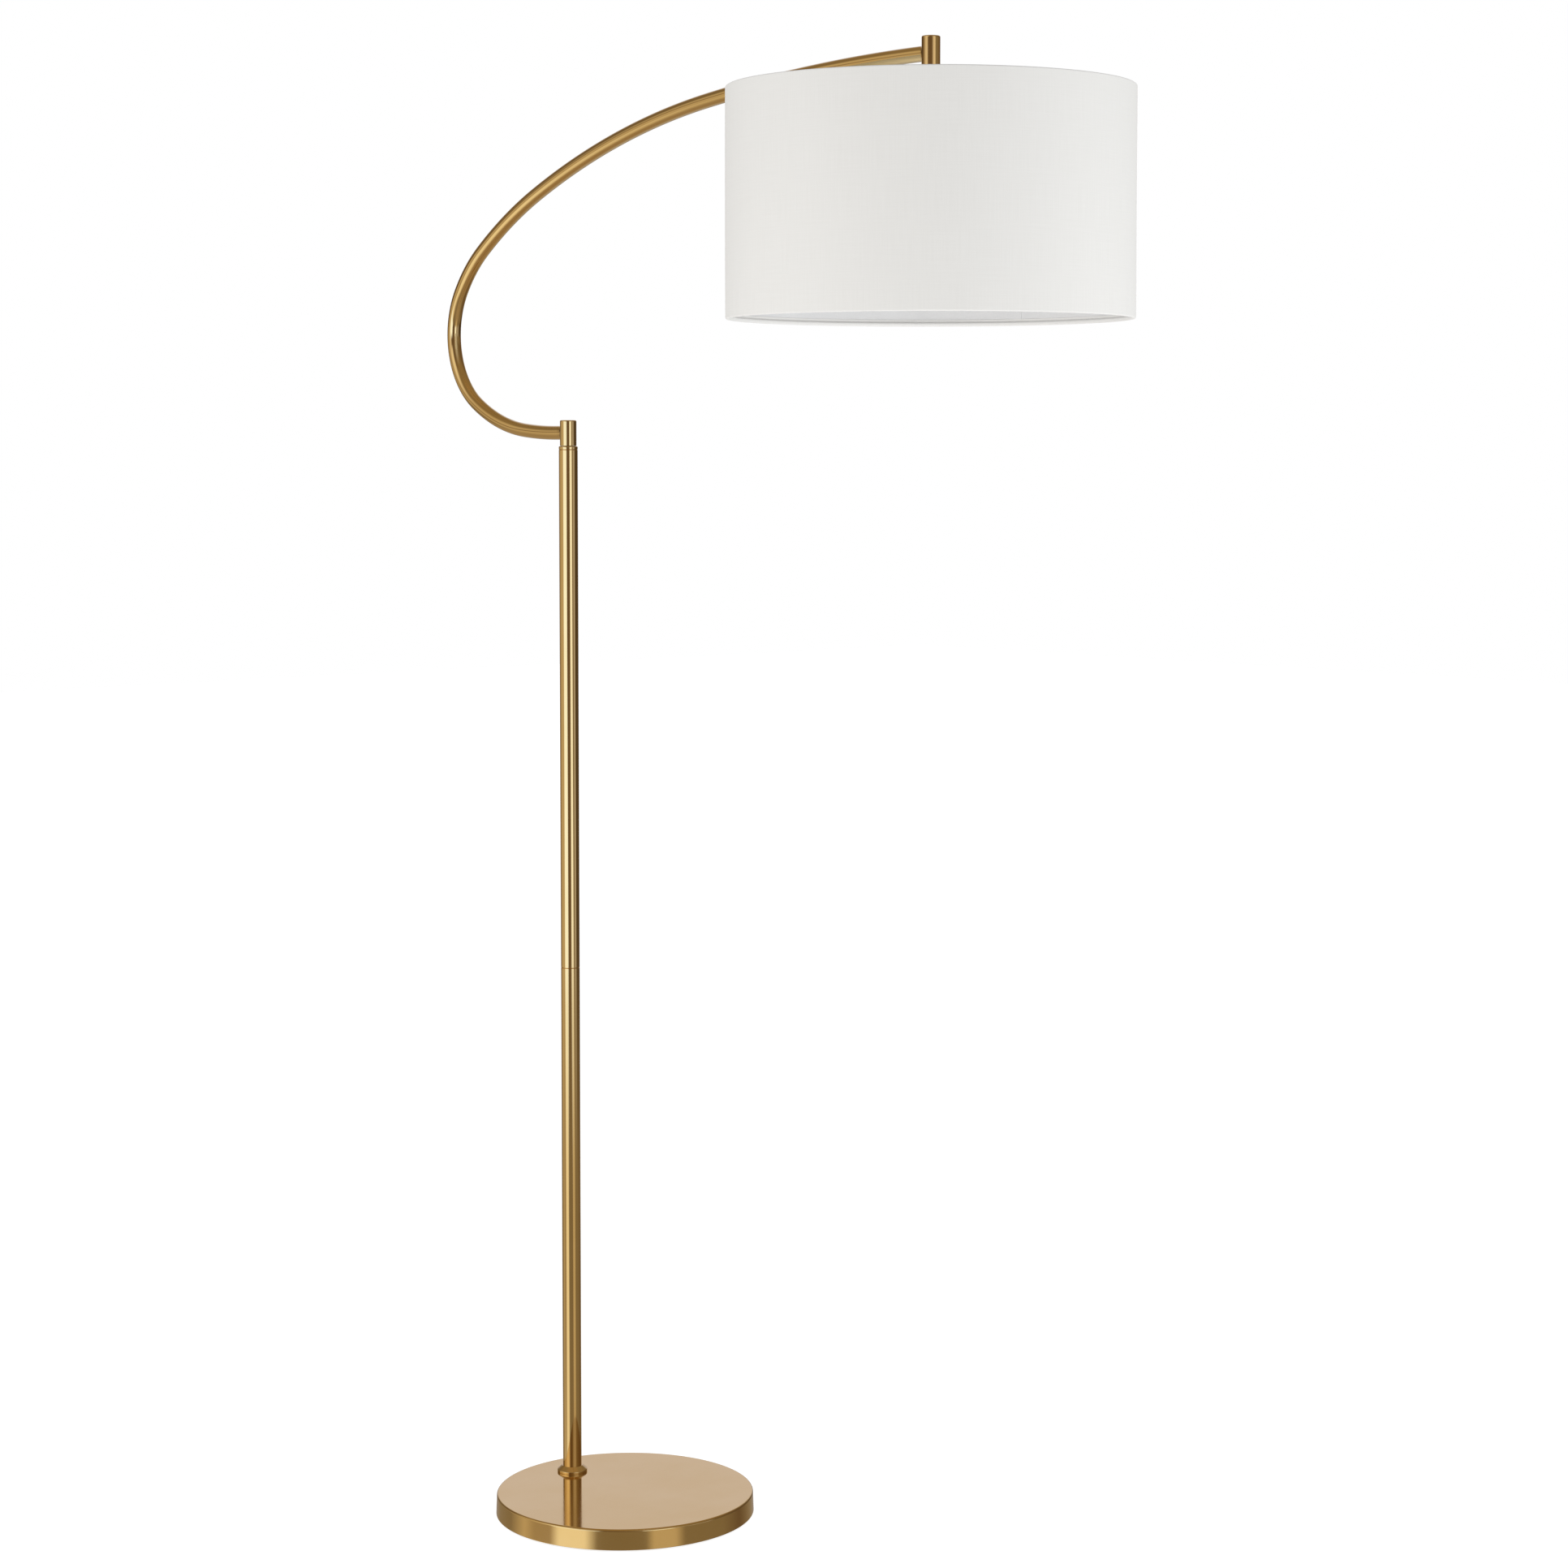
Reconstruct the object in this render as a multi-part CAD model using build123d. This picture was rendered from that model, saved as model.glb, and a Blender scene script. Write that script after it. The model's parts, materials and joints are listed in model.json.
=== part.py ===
from build123d import *
import math
import os

# Arc floor lamp: a weighted round base, an off-centre pole, a swan-neck arm that swivels on the
# pole, and a drum shade that hangs under the arm's end. Millimetres, +Z up.
# The origin is the centre of the base's underside, on the floor. +X points from there towards
# the shade, so the pole, the arm and the shade's axis all lie in the plane Y = 0.

# ---- Driving dimensions ----
# Base
BASE_TOP_Z = 23.5
BASE_TOP_RADIUS = 139.7
BASE_BOTTOM_RADIUS = 141.6
COVER_WALL = 1.2
COVER_EDGE_ROUND = 2.0
COVER_BOTTOM_Z = 1.3
PAD_TOP_Z = 2.0
PAD_RADIUS = 136.0
WEIGHT_RADIUS = 137.5
WEIGHT_TOP_Z = 22.2
RECESS_RADIUS = 16.0
RECESS_TOP_Z = 16.5     # roof of the recess under the pole, where the base nut sits
CHANNEL_WIDTH = 13.0    # groove under the weight that brings the flex in from the back
CHANNEL_TOP_Z = 13.5
INLET_Z = 7.5
INLET_HOLE_RADIUS = 5.0
INLET_BORE = 3.6
INLET_LENGTH = 8.0
BASE_NUT_FLATS = 17.0
BASE_NUT_HEIGHT = 4.0
BASE_WASHER_RADIUS = 13.0
BASE_WASHER_THICKNESS = 1.5

# Pole
POLE_X = -94.0          # off the base's centre, so that the base reaches out under the shade
POLE_RADIUS = 10.4
POLE_BORE = 9.0
POLE_JOINT_Z = 593.0    # where the two tubes meet
POLE_TOP_Z = 1167.1
TUBE_EDGE = 0.35        # chamfer at the tubes' ends, seen as a fine line at the joint
BUSH_LENGTH = 18.0
FLANGE_TOP_Z = 30.6
FLANGE_RADIUS = 16.7
RING_TOP_Z = 1170.8
RING_EDGE_ROUND = 0.9

# Threads and holes
PIPE_RADIUS = 4.95      # hollow M10 x 1 pipe, which lamp fittings screw on to
PIPE_BORE = 3.9
THREAD_RADIUS = 5.0     # the holes that the pipe screws into
FLEX_RADIUS = 2.0
FIT = 0.03              # radial gap round a pressed-in bush

# Arm: from the knuckle its centre line runs level, away from the shade, and then turns half a
# circle in all through arcs that open out, each given as (radius, degrees).
ARM_Z = 1185.7
ARM_FIRST_RUN = 20.5
ARM_BENDS = ((540, 6.2), (210, 25.8), (92, 90.4), (163, 21.0), (520, 12.8), (1050, 16.6), (2585, 7.2))
ARM_RADIUS = 7.6
ARM_BORE = 6.4
ARM_REACH = 571.4
SHADE_X = POLE_X + ARM_REACH
KNUCKLE_RADIUS = 9.1
KNUCKLE_BOTTOM_Z = 1171.2    # just clear of the washer on the ring
KNUCKLE_TOP_Z = 1199.4
SWIVEL_BORE = 3.2
SWIVEL_TOP_Z = 1181.0
GROOVE_Z = 1177.0       # the set screw's height
GROOVE_RADIUS = 4.25
SET_SCREW_RADIUS = 2.0
FITTING_RADIUS = 9.15
FITTING_BOTTOM_Z = 1533.6
FITTING_TOP_Z = 1566.4
POST_EDGE_ROUND = 2.0   # round the tops of the knuckle and the end fitting
WIRE_HOLE_RADIUS = 4.2
WIRE_TURN = 5.0         # the flex turns from upright to level on this radius inside each fitting

# Lampholder
HOLDER_RADIUS = 19.75
HOLDER_BORE = 15.2
HOLDER_BOTTOM_Z = 1468.0
HOLDER_SHOULDER_Z = 1509.0
HOLDER_CAP_Z = 1512.0
SHOULDER_RADIUS = 22.5
SOCKET_ROOF_Z = 1500.0
WELL_RADIUS = 14.0      # the well above the socket, where the flex is wired
WELL_BOTTOM_Z = 1503.5
LEAD_HOLE_RADIUS = 1.5
LEAD_HOLE_OFFSET = 6.0
SCREW_SHELL_RADIUS = 14.9
SCREW_SHELL_TOP_Z = 1497.5
CLAMP_RADIUS = 28.0
CLAMP_HEIGHT = 8.0
HOLDER_CAP_RADIUS = 19.5
HOLDER_CAP_BORE = 17.2
PIPE_END_Z = 1525.6     # the pipe's lower end, inside the cap
LOCKNUT_FLATS = 15.0
LOCKNUT_HEIGHT = 4.0
KNOB_Z = 1519.5
KNOB_RADIUS = 5.6
KNOB_LENGTH = 13.0
SHAFT_RADIUS = 1.5

# Bulb: the standard 60 mm bulb with a 26 mm screw cap
BULB_TIP_Z = 1498.3
BULB_LENGTH = 108.0
BULB_RADIUS = 30.0
BULB_NECK_RADIUS = 12.5
BULB_GLASS = 0.9
CAP_RADIUS = 13.0

# Shade
SHADE_TOP_Z = 1516.9
SHADE_BOTTOM_Z = 1293.3
SHADE_RADIUS = 199.6
FABRIC = 0.6
LINER = 0.4
HEM = 0.5
HEM_HEIGHT = 7.0
RIM_WIRE = 1.5
SPOKE_RADIUS = 1.6
SPOKE_ANGLES = (90, 210, 330)
HUB_RADIUS = 27.0
HUB_BORE = 20.0
HUB_Z = 1507.3
HUB_THICKNESS = 1.5

UPWARDS = (Align.CENTER, Align.CENTER, Align.MIN)


# ---- Shapes that repeat ----
def disc(radius, bottom, top, x=POLE_X):
    """An upright solid cylinder."""
    return Pos(x, 0, bottom) * Cylinder(radius, top - bottom, align=UPWARDS)


def ring(outer, inner, bottom, top, x=POLE_X):
    """An upright tube or washer."""
    return disc(outer, bottom, top, x) - disc(inner, bottom - 1, top + 1, x)


def rod(radius, start, end):
    """A straight round bar between two points."""
    line = Vector(*end) - Vector(*start)
    place = Plane(origin=start, z_dir=line).location
    return place * Cylinder(radius, line.length, align=UPWARDS)


def hexagon(across_flats, bottom, top, x):
    """An upright hexagonal block."""
    outline = RegularPolygon(across_flats / math.sqrt(3), 6)
    return Pos(x, 0, bottom) * extrude(outline, top - bottom)


def spun(outline, x):
    """A solid turned about the upright axis at x, from an outline drawn as (radius, z)."""
    return Pos(x, 0, 0) * revolve(make_face(Plane.XZ * outline), Axis.Z)


def swept(outer, inner, route):
    """A tube, or a bar where inner is 0, along a route."""
    section = Circle(outer) - Circle(inner) if inner else Circle(outer)
    start = Plane(origin=route @ 0, z_dir=route % 0)
    return sweep(start * section, path=route)


def rounded(shape, where, radius):
    """The shape with the widest edge at its top (-1) or bottom (0) rounded."""
    edge = shape.edges().filter_by(GeomType.CIRCLE).group_by(Axis.Z)[where].sort_by(SortBy.RADIUS)[-1]
    return fillet(edge, radius)


def bevelled(tube):
    """A tube with a fine bevel round both outer ends."""
    circles = tube.edges().filter_by(GeomType.CIRCLE)
    ends = [circles.group_by(Axis.Z)[where].sort_by(SortBy.RADIUS)[-1] for where in (0, -1)]
    return chamfer(ends, TUBE_EDGE)


# ---- Base ----
def base_cover():
    """A spun shell: a flat top with a rounded edge and a skirt that flares a little."""
    def cone(inset, bottom, top):
        place = Pos(0, 0, bottom)
        return place * Cone(BASE_BOTTOM_RADIUS - inset, BASE_TOP_RADIUS - inset, top - bottom, align=UPWARDS)

    outside = rounded(cone(0, COVER_BOTTOM_Z, BASE_TOP_Z), -1, COVER_EDGE_ROUND)
    inside = cone(COVER_WALL, COVER_BOTTOM_Z, BASE_TOP_Z - COVER_WALL)
    pipe_hole = disc(THREAD_RADIUS + 0.2, BASE_TOP_Z - 5, BASE_TOP_Z + 1)
    inlet_start = (-BASE_BOTTOM_RADIUS - 5, 0, INLET_Z)
    inlet_hole = rod(INLET_HOLE_RADIUS, inlet_start, (-BASE_TOP_RADIUS + 5, 0, INLET_Z))
    return outside - inside - pipe_hole - inlet_hole


def base_weight():
    """A cast iron disc with a nut recess under the pole and a groove for the flex."""
    body = chamfer(disc(WEIGHT_RADIUS, PAD_TOP_Z, WEIGHT_TOP_Z, 0).edges().group_by(Axis.Z)[-1], 1.5)
    length = BASE_BOTTOM_RADIUS + POLE_X
    height = CHANNEL_TOP_Z - PAD_TOP_Z
    backwards = (Align.MAX, Align.CENTER, Align.MIN)
    groove = Pos(POLE_X, 0, PAD_TOP_Z) * Box(length, CHANNEL_WIDTH, height, align=backwards)
    recess = disc(RECESS_RADIUS, PAD_TOP_Z, RECESS_TOP_Z)
    pipe_hole = disc(THREAD_RADIUS + 0.3, PAD_TOP_Z, WEIGHT_TOP_Z + 1)
    return body - groove - recess - pipe_hole


def cable_inlet():
    """A rubber bush in the cover's back wall, with a lip on each side of the wall."""
    wall_x = -BASE_BOTTOM_RADIUS + 0.35
    outer_x = wall_x - 2.6
    inner_x = outer_x + INLET_LENGTH
    neck = rod(4.85, (outer_x, 0, INLET_Z), (inner_x, 0, INLET_Z))
    outer_lip = rod(5.7, (outer_x, 0, INLET_Z), (wall_x - 0.5, 0, INLET_Z))
    inner_lip = rod(5.3, (wall_x + 2.4, 0, INLET_Z), (wall_x + 4.2, 0, INLET_Z))
    bore = rod(INLET_BORE, (outer_x - 1, 0, INLET_Z), (inner_x + 1, 0, INLET_Z))
    return neck + outer_lip + inner_lip - bore


def base_pieces():
    nut_top = RECESS_TOP_Z - BASE_WASHER_THICKNESS
    nut_bottom = nut_top - BASE_NUT_HEIGHT
    nut = hexagon(BASE_NUT_FLATS, nut_bottom, nut_top, POLE_X) - disc(THREAD_RADIUS, 0, RECESS_TOP_Z)
    return {
        "base_cover": base_cover(),
        "base_weight": base_weight(),
        "base_pad": disc(PAD_RADIUS, 0, PAD_TOP_Z, 0),
        "cable_inlet_grommet": cable_inlet(),
        "base_washer": ring(BASE_WASHER_RADIUS, THREAD_RADIUS + 0.2, nut_top, RECESS_TOP_Z),
        "base_nut": nut,
        "base_pipe": ring(PIPE_RADIUS, PIPE_BORE, nut_bottom - 0.5, BASE_TOP_Z + BUSH_LENGTH - 2),
    }


# ---- Pole ----
def pole_flange():
    """A low cast collar on the base: an upright rim, a rounded shoulder and a cone up to the pole."""
    rim_z = BASE_TOP_Z + 2.2
    bore = POLE_RADIUS + 0.05
    top_inside = (bore, FLANGE_TOP_Z)
    rim_top = (FLANGE_RADIUS, rim_z)
    rim = Polyline(top_inside, (bore, BASE_TOP_Z), (FLANGE_RADIUS, BASE_TOP_Z), rim_top)
    shoulder = TangentArc(rim_top, (FLANGE_RADIUS - 1.3, rim_z + 1.0), tangent=(0, 1))
    top = Polyline(shoulder @ 1, (bore + 0.9, FLANGE_TOP_Z), top_inside)
    return spun(rim + shoulder + top, POLE_X)


def swivel_stud():
    """The hollow stud that the knuckle turns on, with a groove that its set screw runs in."""
    stud = ring(PIPE_RADIUS, SWIVEL_BORE, POLE_TOP_Z - BUSH_LENGTH + 1, SWIVEL_TOP_Z)
    half_groove = SET_SCREW_RADIUS + 0.3
    groove = ring(PIPE_RADIUS + 1, GROOVE_RADIUS, GROOVE_Z - half_groove, GROOVE_Z + half_groove)
    return stud - groove


def pole_flex():
    """The flex from the inlet, along the groove, up both tubes and into the swivel stud."""
    turn = 7.0
    start = (-BASE_BOTTOM_RADIUS + 6.5, INLET_Z)
    run = Line(start, (POLE_X - turn, INLET_Z))
    rise = JernArc(run @ 1, run % 1, turn, 90)
    climb = Line(rise @ 1, (POLE_X, ARM_Z - WIRE_TURN - 0.4))
    return swept(FLEX_RADIUS, 0, Plane.XZ * Wire([run, rise, climb]))


def pole_pieces():
    bush = POLE_BORE - FIT
    top_ring = ring(POLE_RADIUS, THREAD_RADIUS, POLE_TOP_Z, RING_TOP_Z)
    return {
        "pole_flange": pole_flange(),
        "lower_pole": bevelled(ring(POLE_RADIUS, POLE_BORE, BASE_TOP_Z, POLE_JOINT_Z)),
        "pole_foot_bush": ring(bush, THREAD_RADIUS, BASE_TOP_Z, BASE_TOP_Z + BUSH_LENGTH),
        "lower_pole_bush": ring(bush, THREAD_RADIUS, POLE_JOINT_Z - BUSH_LENGTH, POLE_JOINT_Z),
        "pole_joiner": ring(PIPE_RADIUS, PIPE_BORE, POLE_JOINT_Z - 14, POLE_JOINT_Z + 14),
        "upper_pole_bush": ring(bush, THREAD_RADIUS, POLE_JOINT_Z, POLE_JOINT_Z + BUSH_LENGTH),
        "upper_pole": bevelled(ring(POLE_RADIUS, POLE_BORE, POLE_JOINT_Z, POLE_TOP_Z)),
        "pole_top_bush": ring(bush, THREAD_RADIUS, POLE_TOP_Z - BUSH_LENGTH, POLE_TOP_Z),
        "pole_top_ring": rounded(top_ring, -1, RING_EDGE_ROUND),
        "swivel_stud": swivel_stud(),
        "swivel_washer": ring(8.4, THREAD_RADIUS + 0.05, RING_TOP_Z, KNUCKLE_BOTTOM_Z - 0.1),
        "pole_flex": pole_flex(),
    }


# ---- Arm ----
def arm_route(turn=0.0, tail=0.0):
    """The arm's centre line, from the pole's axis to the shade's axis, in the plane Y = 0.

    Given a turn, it is the flex's route: it starts upright, bends into the arm on that radius,
    bends down again at the far end, and goes straight down for the length of the tail.
    """
    edges = [Line((POLE_X - turn, ARM_Z), (POLE_X - ARM_FIRST_RUN, ARM_Z))]
    for radius, degrees in ARM_BENDS:
        edges.append(JernArc(edges[-1] @ 1, edges[-1] % 1, radius, -degrees))
    level = (edges[-1] @ 1).Y
    edges.append(Line(edges[-1] @ 1, (SHADE_X - turn, level)))
    if turn:
        rise = JernArc((POLE_X, ARM_Z - turn), (0, 1), turn, 90)
        fall = JernArc(edges[-1] @ 1, (1, 0), turn, -90)
        drop = Line(fall @ 1, fall @ 1 - Vector(0, tail))
        edges = [rise, *edges, fall, drop]
    return Plane.XZ * Wire(edges)


def arm_tube():
    """The bent tube, its two ends cut to sit round the knuckle and the end fitting."""
    tube = swept(ARM_RADIUS, ARM_BORE, arm_route())
    at_knuckle = disc(KNUCKLE_RADIUS, KNUCKLE_BOTTOM_Z, KNUCKLE_TOP_Z)
    at_fitting = disc(FITTING_RADIUS, FITTING_BOTTOM_Z, FITTING_TOP_Z, SHADE_X)
    return tube - at_knuckle - at_fitting


def arm_knuckle():
    """An upright turned post, bored from below for the swivel stud and drilled for the flex."""
    post = rounded(disc(KNUCKLE_RADIUS, KNUCKLE_BOTTOM_Z, KNUCKLE_TOP_Z), -1, POST_EDGE_ROUND)
    post = chamfer(post.edges().group_by(Axis.Z)[0], 0.3)
    stud_bore = disc(THREAD_RADIUS, KNUCKLE_BOTTOM_Z, ARM_Z + 5.5)
    wire_hole = rod(WIRE_HOLE_RADIUS, (POLE_X - KNUCKLE_RADIUS - 1, 0, ARM_Z), (POLE_X, 0, ARM_Z))
    screw_end = (POLE_X + KNUCKLE_RADIUS + 1, 0, GROOVE_Z)
    screw_hole = rod(SET_SCREW_RADIUS + FIT, (POLE_X, 0, GROOVE_Z), screw_end)
    return post - stud_bore - wire_hole - screw_hole


def set_screw():
    """A grub screw with a hexagon socket. Its point runs in the stud's groove."""
    outer_x = POLE_X + KNUCKLE_RADIUS - 0.5
    screw = rod(SET_SCREW_RADIUS, (POLE_X + GROOVE_RADIUS + 0.3, 0, GROOVE_Z), (outer_x, 0, GROOVE_Z))
    socket = extrude(RegularPolygon(2.0 / math.sqrt(3), 6), 1.6)
    return screw - Plane(origin=(outer_x, 0, GROOVE_Z), z_dir=(-1, 0, 0)).location * socket


def arm_end_fitting():
    """An upright turned post, threaded from below for the pipe and drilled for the flex."""
    level = (arm_route() @ 1).Z
    post = rounded(disc(FITTING_RADIUS, FITTING_BOTTOM_Z, FITTING_TOP_Z, SHADE_X), -1, POST_EDGE_ROUND)
    post = chamfer(post.edges().group_by(Axis.Z)[0], 0.3)
    pipe_bore = disc(THREAD_RADIUS, FITTING_BOTTOM_Z, level + 5.5, SHADE_X)
    wire_hole = rod(WIRE_HOLE_RADIUS, (SHADE_X - FITTING_RADIUS - 1, 0, level), (SHADE_X, 0, level))
    return post - pipe_bore - wire_hole


def arm_pieces():
    return {
        "arm_knuckle": arm_knuckle(),
        "knuckle_set_screw": set_screw(),
        "arm_tube": arm_tube(),
        "arm_end_fitting": arm_end_fitting(),
        "end_pipe": ring(PIPE_RADIUS, PIPE_BORE, PIPE_END_Z, FITTING_BOTTOM_Z + 9, SHADE_X),
        "arm_flex": swept(FLEX_RADIUS, 0, arm_route(WIRE_TURN, 20.0)),
    }


# ---- Lampholder ----
def lampholder_cap():
    """A domed moulded cap with walls 2 mm thick, a threaded top and a side hole for the switch."""
    top = FITTING_BOTTOM_Z
    dome_start = (HOLDER_CAP_RADIUS, top - 9.6)
    dome_end = (10.5, top)
    side = Polyline((0, HOLDER_CAP_Z), (HOLDER_CAP_RADIUS, HOLDER_CAP_Z), dome_start)
    dome = TangentArc(dome_start, dome_end, tangent=(0, 1))
    lid = Polyline(dome_end, (0, top), (0, HOLDER_CAP_Z))
    body = spun(side + dome + lid, SHADE_X)
    hollow = disc(HOLDER_CAP_BORE, HOLDER_CAP_Z, top - 7.5, SHADE_X) + disc(11.5, top - 8, top - 3.5, SHADE_X)
    pipe_hole = disc(THREAD_RADIUS, top - 5, top + 1, SHADE_X)
    shaft_hole = rod(SHAFT_RADIUS + 0.3, (SHADE_X, 0, KNOB_Z), (SHADE_X, 25, KNOB_Z))
    return body - hollow - pipe_hole - shaft_hole


def lampholder_body():
    """The moulded barrel that the bulb screws up into, with a shoulder above for the shade's hub."""
    barrel = disc(HOLDER_RADIUS, HOLDER_BOTTOM_Z, HOLDER_SHOULDER_Z, SHADE_X)
    shoulder = disc(SHOULDER_RADIUS, HOLDER_SHOULDER_Z, HOLDER_CAP_Z, SHADE_X)
    socket = disc(HOLDER_BORE, HOLDER_BOTTOM_Z, SOCKET_ROOF_Z, SHADE_X)
    well = disc(WELL_RADIUS, WELL_BOTTOM_Z, HOLDER_CAP_Z, SHADE_X)
    body = rounded(barrel + shoulder, 0, 1.0) - socket - well
    for side in (-LEAD_HOLE_OFFSET, LEAD_HOLE_OFFSET):
        body -= Pos(0, side, 0) * disc(LEAD_HOLE_RADIUS, SOCKET_ROOF_Z - 1, WELL_BOTTOM_Z + 1.5, SHADE_X)
    return body


def shade_clamp_ring():
    """The moulded ring that screws up the barrel and holds the shade's hub to the shoulder."""
    top = HUB_Z - 0.2
    bottom = top - CLAMP_HEIGHT
    body = ring(CLAMP_RADIUS, HOLDER_RADIUS + 0.02, bottom, top, SHADE_X)
    for number in range(12):
        place = Pos(SHADE_X, 0, bottom) * Rot(0, 0, 30 * number) * Pos(CLAMP_RADIUS + 0.6, 0, 0)
        body -= place * Cylinder(1.6, CLAMP_HEIGHT, align=UPWARDS)
    return body


def switch_block():
    """The insulating block inside the cap that holds the switch's contacts."""
    block = disc(13.5, HOLDER_CAP_Z, KNOB_Z + 4.5, SHADE_X)
    shaft_hole = rod(SHAFT_RADIUS + 0.05, (SHADE_X, 2, KNOB_Z), (SHADE_X, 25, KNOB_Z))
    return block - shaft_hole


def switch_knob():
    """A fluted knob, its face towards +Y."""
    knob = rod(KNOB_RADIUS, (SHADE_X, 21.5, KNOB_Z), (SHADE_X, 21.5 + KNOB_LENGTH, KNOB_Z))
    knob = fillet(knob.edges().group_by(Axis.Y)[-1], 1.2)
    for number in range(10):
        turn = math.radians(36 * number)
        x = SHADE_X + (KNOB_RADIUS + 0.5) * math.cos(turn)
        z = KNOB_Z + (KNOB_RADIUS + 0.5) * math.sin(turn)
        knob -= rod(1.0, (x, 23.5, z), (x, 40, z))
    return knob - rod(SHAFT_RADIUS, (SHADE_X, 20, KNOB_Z), (SHADE_X, 30, KNOB_Z))


def lampholder_pieces():
    locknut_top = PIPE_END_Z + LOCKNUT_HEIGHT
    locknut = hexagon(LOCKNUT_FLATS, PIPE_END_Z, locknut_top, SHADE_X)
    shell_bottom = HOLDER_BOTTOM_Z + 4
    return {
        "lampholder_cap": lampholder_cap(),
        "cap_locknut": locknut - disc(THREAD_RADIUS, PIPE_END_Z - 1, locknut_top + 1, SHADE_X),
        "switch_block": switch_block(),
        "switch_shaft": rod(SHAFT_RADIUS, (SHADE_X, 3, KNOB_Z), (SHADE_X, 30, KNOB_Z)),
        "switch_knob": switch_knob(),
        "lampholder_body": lampholder_body(),
        "lampholder_screw_shell": ring(
            SCREW_SHELL_RADIUS, CAP_RADIUS + 0.4, shell_bottom, SCREW_SHELL_TOP_Z, SHADE_X),
        "lampholder_contact": disc(4.0, BULB_TIP_Z + 0.3, SOCKET_ROOF_Z, SHADE_X),
        "shade_clamp_ring": shade_clamp_ring(),
    }


# ---- Bulb ----
def bulb_form(inset):
    """The bulb's outer form, or its hollow where there is an inset: a ball and a flared neck."""
    radius = BULB_RADIUS - inset
    ball_z = BULB_TIP_Z - BULB_LENGTH + BULB_RADIUS
    neck = (BULB_NECK_RADIUS - inset, BULB_TIP_Z - 27.0 + inset)
    rise = math.radians(36)
    waist = (radius * math.cos(rise), ball_z + radius * math.sin(rise))
    below = (radius * math.cos(rise), ball_z - radius * math.sin(rise))
    ball = RadiusArc((0, ball_z - radius), below, -radius) + ThreePointArc(below, (radius, ball_z), waist)
    flare = TangentArc(waist, neck, tangent=(-math.sin(rise), math.cos(rise)))
    top = Polyline(neck, (0, neck[1]), (0, ball_z - radius))
    return spun(ball + flare + top, SHADE_X)


def bulb_glass():
    """A pear-shaped glass shell, open at the neck's end."""
    return bulb_form(0) - bulb_form(BULB_GLASS)


def bulb_cap():
    """The screw cap: a thin closed shell round the neck's end."""
    top = BULB_TIP_Z - 3.5
    shell = rounded(disc(CAP_RADIUS, BULB_TIP_Z - 26.95, top, SHADE_X), -1, 2.0)
    hollow = rounded(disc(CAP_RADIUS - 0.4, BULB_TIP_Z - 28, top - 0.4, SHADE_X), -1, 1.6)
    return shell - hollow


def bulb_pieces():
    return {
        "bulb_glass": bulb_glass(),
        "bulb_cap": bulb_cap(),
        "bulb_insulator": disc(8.5, BULB_TIP_Z - 3.5, BULB_TIP_Z - 1.5, SHADE_X),
        "bulb_contact": rounded(disc(4.5, BULB_TIP_Z - 1.5, BULB_TIP_Z, SHADE_X), -1, 0.8),
    }


# ---- Shade ----
def shade_skin(outer, thickness, gap):
    """One layer of the drum's wall, with a gap at both edges."""
    return ring(outer, outer - thickness, SHADE_BOTTOM_Z + gap, SHADE_TOP_Z - gap, SHADE_X)


def hem(edge_z, inwards):
    """The fabric turned over a rim wire: it wraps the wire and lies back on the liner.

    `inwards` is 1 at the bottom rim, where the hem rises from the edge, and -1 at the top rim.
    """
    outer = SHADE_RADIUS - FABRIC
    liner_face = outer - LINER
    inner = liner_face - 2 * RIM_WIRE - HEM - 0.2
    corners = (
        (outer, 0),
        (inner + 0.8, 0),
        (inner, 0.8),
        (inner, 3.4),
        (liner_face - HEM, 5.2),
        (liner_face - HEM, HEM_HEIGHT),
        (liner_face, HEM_HEIGHT),
        (liner_face, 4.6),
        (inner + HEM, 3.0),
        (inner + HEM, HEM + 0.5),
        (inner + HEM + 0.5, HEM),
        (outer, HEM),
    )
    outline = Polyline(*[(radius, edge_z + inwards * rise) for radius, rise in corners], close=True)
    return spun(outline, SHADE_X)


def shade_pieces():
    liner_face = SHADE_RADIUS - FABRIC - LINER
    wire_radius = liner_face - RIM_WIRE - 0.1
    wire_inset = HEM + RIM_WIRE + 0.1
    top_wire_z = SHADE_TOP_Z - wire_inset
    bottom_wire_z = SHADE_BOTTOM_Z + wire_inset
    hub_top = HUB_Z + HUB_THICKNESS
    pieces = {
        "shade_fabric": shade_skin(SHADE_RADIUS, FABRIC, 0),
        "shade_liner": shade_skin(SHADE_RADIUS - FABRIC, LINER, HEM + 0.1),
        "shade_top_wire": Pos(SHADE_X, 0, top_wire_z) * Torus(wire_radius, RIM_WIRE),
        "shade_bottom_wire": Pos(SHADE_X, 0, bottom_wire_z) * Torus(wire_radius, RIM_WIRE),
        "shade_top_hem": hem(SHADE_TOP_Z, -1),
        "shade_bottom_hem": hem(SHADE_BOTTOM_Z, 1),
        "shade_hub": ring(HUB_RADIUS, HUB_BORE, HUB_Z, hub_top, SHADE_X),
    }
    spoke_start = HUB_RADIUS - 3
    spoke_end = wire_radius - RIM_WIRE - HEM - 0.4
    for number, degrees in enumerate(SPOKE_ANGLES, 1):
        across = Vector(1, 0, 0).rotate(Axis.Z, degrees)
        start = Vector(SHADE_X, 0, hub_top + SPOKE_RADIUS) + across * spoke_start
        end = Vector(SHADE_X, 0, top_wire_z) + across * spoke_end
        pieces[f"shade_spoke_{number}"] = rod(SPOKE_RADIUS, start, end)
    return pieces


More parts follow.
